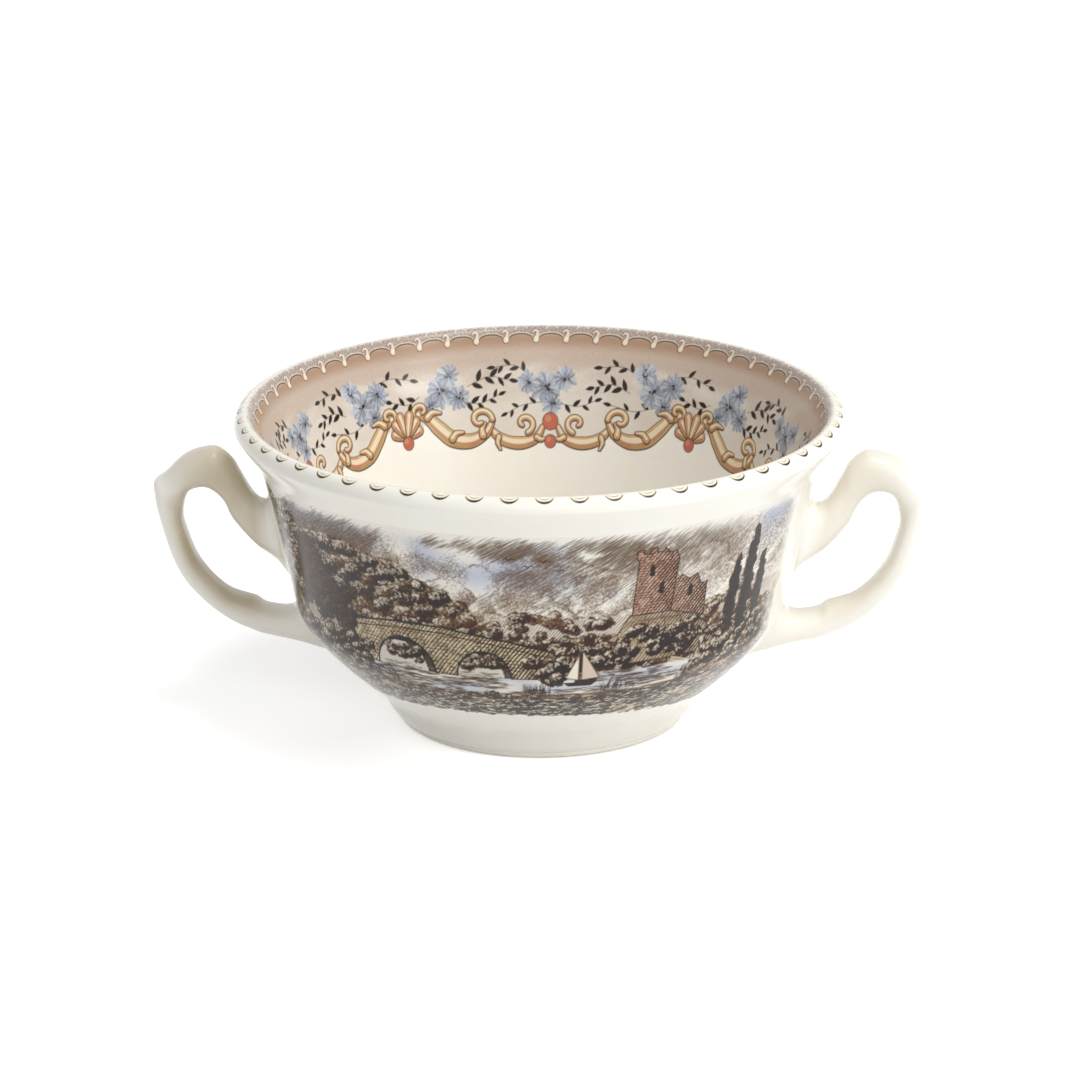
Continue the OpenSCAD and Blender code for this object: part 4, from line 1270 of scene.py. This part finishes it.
def edge_unit():
    s = Sheet(WASHES, 3, EDGE_UNIT, EDGE_HIGH, EDGE_UNIT / EDGE_CELLS)
    y, half = s.y, EDGE_UNIT / 2
    shifts = (-EDGE_UNIT, 0, EDGE_UNIT)
    # mauve ground with uneven dots and a pale curl over the top of the lip
    s.lay(ease(y, 3.0, 3.9) * ease(y, 7.4, 5.6) * 0.8, "mauve")
    s.lay(ease(y, 4.9, 5.9) * 0.7, "beige")
    s.lay(ease(y, 4.9, 5.9) * (0.5 + 0.42 * ease(y, 9.2, 6.2)), "peach")
    s.lay(ease(y, 5.5, 6.5) * (s.rng.random(y.shape) > 0.8) * 0.28, "mauve")
    for count, tone in ((150, "grey"), (60, "pale"), (90, "grey")):
        s.dots(s.between(-half, half, count), s.between(3.1, 5.3, count), 0.9, tone)
    for dx in shifts:
        s.brush(curl(dx + half, 4.5, 1.5, 1.1, 200, 340), 0.13, "pale", 0.75)
    # crescents on the outer edge
    a = np.linspace(np.pi * 1.04, np.pi * 1.96, 26)
    thick = 0.05 + 0.17 * np.sin(np.linspace(0, np.pi, 26)) ** 1.5
    for wide, high, radii, tone, strength in ((1.5, 0.9, 0.5, "pale", 1.0), (1.7, 1.2, thick, "leaf", 1.0),
                                              (0.85, 0.5, thick * 0.4, "grey", 0.75)):
        s.brush(oval(0, 2.5, wide, high, a), radii, tone, strength)
    # arches and hanging drops inside
    a = np.linspace(0, np.pi, 30)
    for dx in shifts:
        arch = oval(dx + half, 6.2, 2.7, -1.0, a)
        s.brush(arch, 0.13, "leaf", 0.8)
        s.brush(arch + [0, -0.28], 0.1, "pale", 0.6)
    for dx in shifts:
        drop = arc_points([(dx + 0.8, 4.95), (dx + 0.15, 4.5), (dx - 0.4, 4.9), (dx - 0.25, 5.7), (dx, 6.4)], 8)
        r = np.interp(np.linspace(0, 1, len(drop)), [0, 0.3, 0.7, 1], [0.13, 0.24, 0.34, 0.62])
        s.brush(drop + [0.07, 0.06], r + 0.13, "outline", 0.8)
        s.brush(drop, r, "pearl")
        s.brush(drop[-3:] - [0.12, 0.1], 0.3, "pale", 0.8)
    return s.picture()


# %% [markdown]
# ## The transfers go on
# The two scenes cover the outside between the handles, the back one as a mirror image of another drawing. The border
# starts under the lip inside, and the lip's own strip runs over it from outside to inside.

# %% Draw the pictures and lay them on the bowl
def repeated(unit, count):
    """A unit side by side, with its first column once more at the end."""
    return np.concatenate([np.tile(unit[:, :-1], (1, count, 1)), unit[:, :1]], 1)


LIP_OUTSIDE, LIP_INSIDE = bowl_h - 1.9, bowl_h - 5.6
BORDER_FROM, BORDER_TO = bowl_h - 24.5, bowl_h - 4.1
SCENE_FROM, SCENE_TO, SCENE_SWEEP, FRONT_START, BACK_START = 9.0, 55.0, 147, -166, 19
edge_outline = np.vstack([outer_wall, lip_curve, inner_wall])
edge_from = int(np.argmax(edge_outline[:, 1] > LIP_OUTSIDE))
edge_to = len(outer_wall) + len(lip_curve) + int(np.argmax(inner_wall[:, 1] < LIP_INSIDE))
edge_curve = edge_outline[edge_from:edge_to + 1]
scene_curve = stretch(outer_wall, SCENE_FROM, SCENE_TO)
border_curve = stretch(inner_wall[::-1], BORDER_FROM, BORDER_TO)
print_sheets("front_scene", river_scene(4), scene_curve, FRONT_START, SCENE_SWEEP, 2, 1, scene_glaze)
print_sheets("back_scene", river_scene(9)[:, ::-1], scene_curve, BACK_START, SCENE_SWEEP, 2, 1,
             scene_glaze)
print_sheets("inner_border", repeated(border_unit(), UNITS_ROUND), border_curve, 90, -360, 4, -1,
             border_glaze, ramps=(1.6, 0.6))
print_sheets("lip_edge", repeated(edge_unit(), EDGES_ROUND), edge_curve, -90, 360, 4, 1, edge_glaze,
             lift=0.06, top_drop=0.35)

# %% [markdown]
# ## Floor, lamps and backdrop
# A product picture is lit by big soft lamps in a pale room. The main one stands to the right in front, so the left side
# falls into a soft beige shade. One overhead, a little to the right, opens the inside, and a weak one in front lifts
# the foot. The floor is white to the camera and still takes the bowl's shadow.

# %% Floor
FLOOR_HALF, FLOOR_DROP = 3.0, 0.05 * MM


def looked_at(tree):
    """1 for what the camera sees, straight or by way of a reflection or a clear body, and 0 for light on the object."""
    path = add_node(tree, "ShaderNodeLightPath").outputs
    shown = maths(tree, "MAXIMUM", path["Is Camera Ray"], path["Is Glossy Ray"])
    return maths(tree, "MAXIMUM", shown, path["Is Transmission Ray"])


corners = [(x * FLOOR_HALF, y * FLOOR_HALF, 0) for x, y in ((-1, -1), (1, -1), (1, 1), (-1, 1))]
floor_mesh = bpy.data.meshes.new("floor")
floor_mesh.from_pydata(corners, [], [(0, 1, 2, 3)])
floor = bpy.data.objects.new("floor", floor_mesh)
bpy.context.scene.collection.objects.link(floor)
floor.location.z = -FLOOR_DROP
floor_paint = bpy.data.materials.new("floor_paint")
floor_paint.use_nodes = True
tree = floor_paint.node_tree
tree.nodes.clear()
plain = add_node(tree, "ShaderNodeBsdfPrincipled", {"Base Color": (0.95, 0.95, 0.95, 1), "Roughness": 0.9}).outputs[0]
glow = add_node(tree, "ShaderNodeEmission", {"Color": WHITE, "Strength": 0.5}).outputs[0]
lifted = add_node(tree, "ShaderNodeAddShader", {0: plain, 1: glow}).outputs[0]
seen = add_node(tree, "ShaderNodeMixShader", {0: looked_at(tree), 1: plain, 2: lifted}).outputs[0]
add_node(tree, "ShaderNodeOutputMaterial", {"Surface": seen})
floor_mesh.materials.append(floor_paint)
print("floor at", round(floor.location.z / MM, 2), "mm")

# %% Lamps and backdrop
TOWARDS = Vector((0, 0, 0.04))


def soft_lamp(name, place, size, power):
    lamp = bpy.data.objects.new(name, bpy.data.lights.new(name, "AREA"))
    bpy.context.scene.collection.objects.link(lamp)
    lamp.data.shape, lamp.data.size, lamp.data.energy = "DISK", size, power
    lamp.location = place
    lamp.rotation_euler = (TOWARDS - Vector(place)).to_track_quat("-Z", "Y").to_euler()
    print(name, "of", power, "W at", place)


soft_lamp("main_lamp", (1.33, -0.88, 0.8), 0.9, 10.0)
soft_lamp("top_lamp", (0.5, -0.2, 1.45), 0.8, 10.6)
soft_lamp("front_lamp", (0.1, -1.5, 1.05), 0.9, 2.8)
world = bpy.data.worlds.new("pale_room")
bpy.context.scene.world = world
world.use_nodes = True
tree = world.node_tree
tree.nodes.clear()
room = add_node(tree, "ShaderNodeBackground", {"Color": (1.0, 1.0, 0.99, 1), "Strength": 0.42}).outputs[0]
white = add_node(tree, "ShaderNodeBackground", {"Color": WHITE, "Strength": 1.0}).outputs[0]
shown = add_node(tree, "ShaderNodeMixShader", {0: looked_at(tree), 1: room, 2: white}).outputs[0]
add_node(tree, "ShaderNodeOutputWorld", {"Surface": shown})
bpy.context.scene.view_settings.view_transform = "Standard"
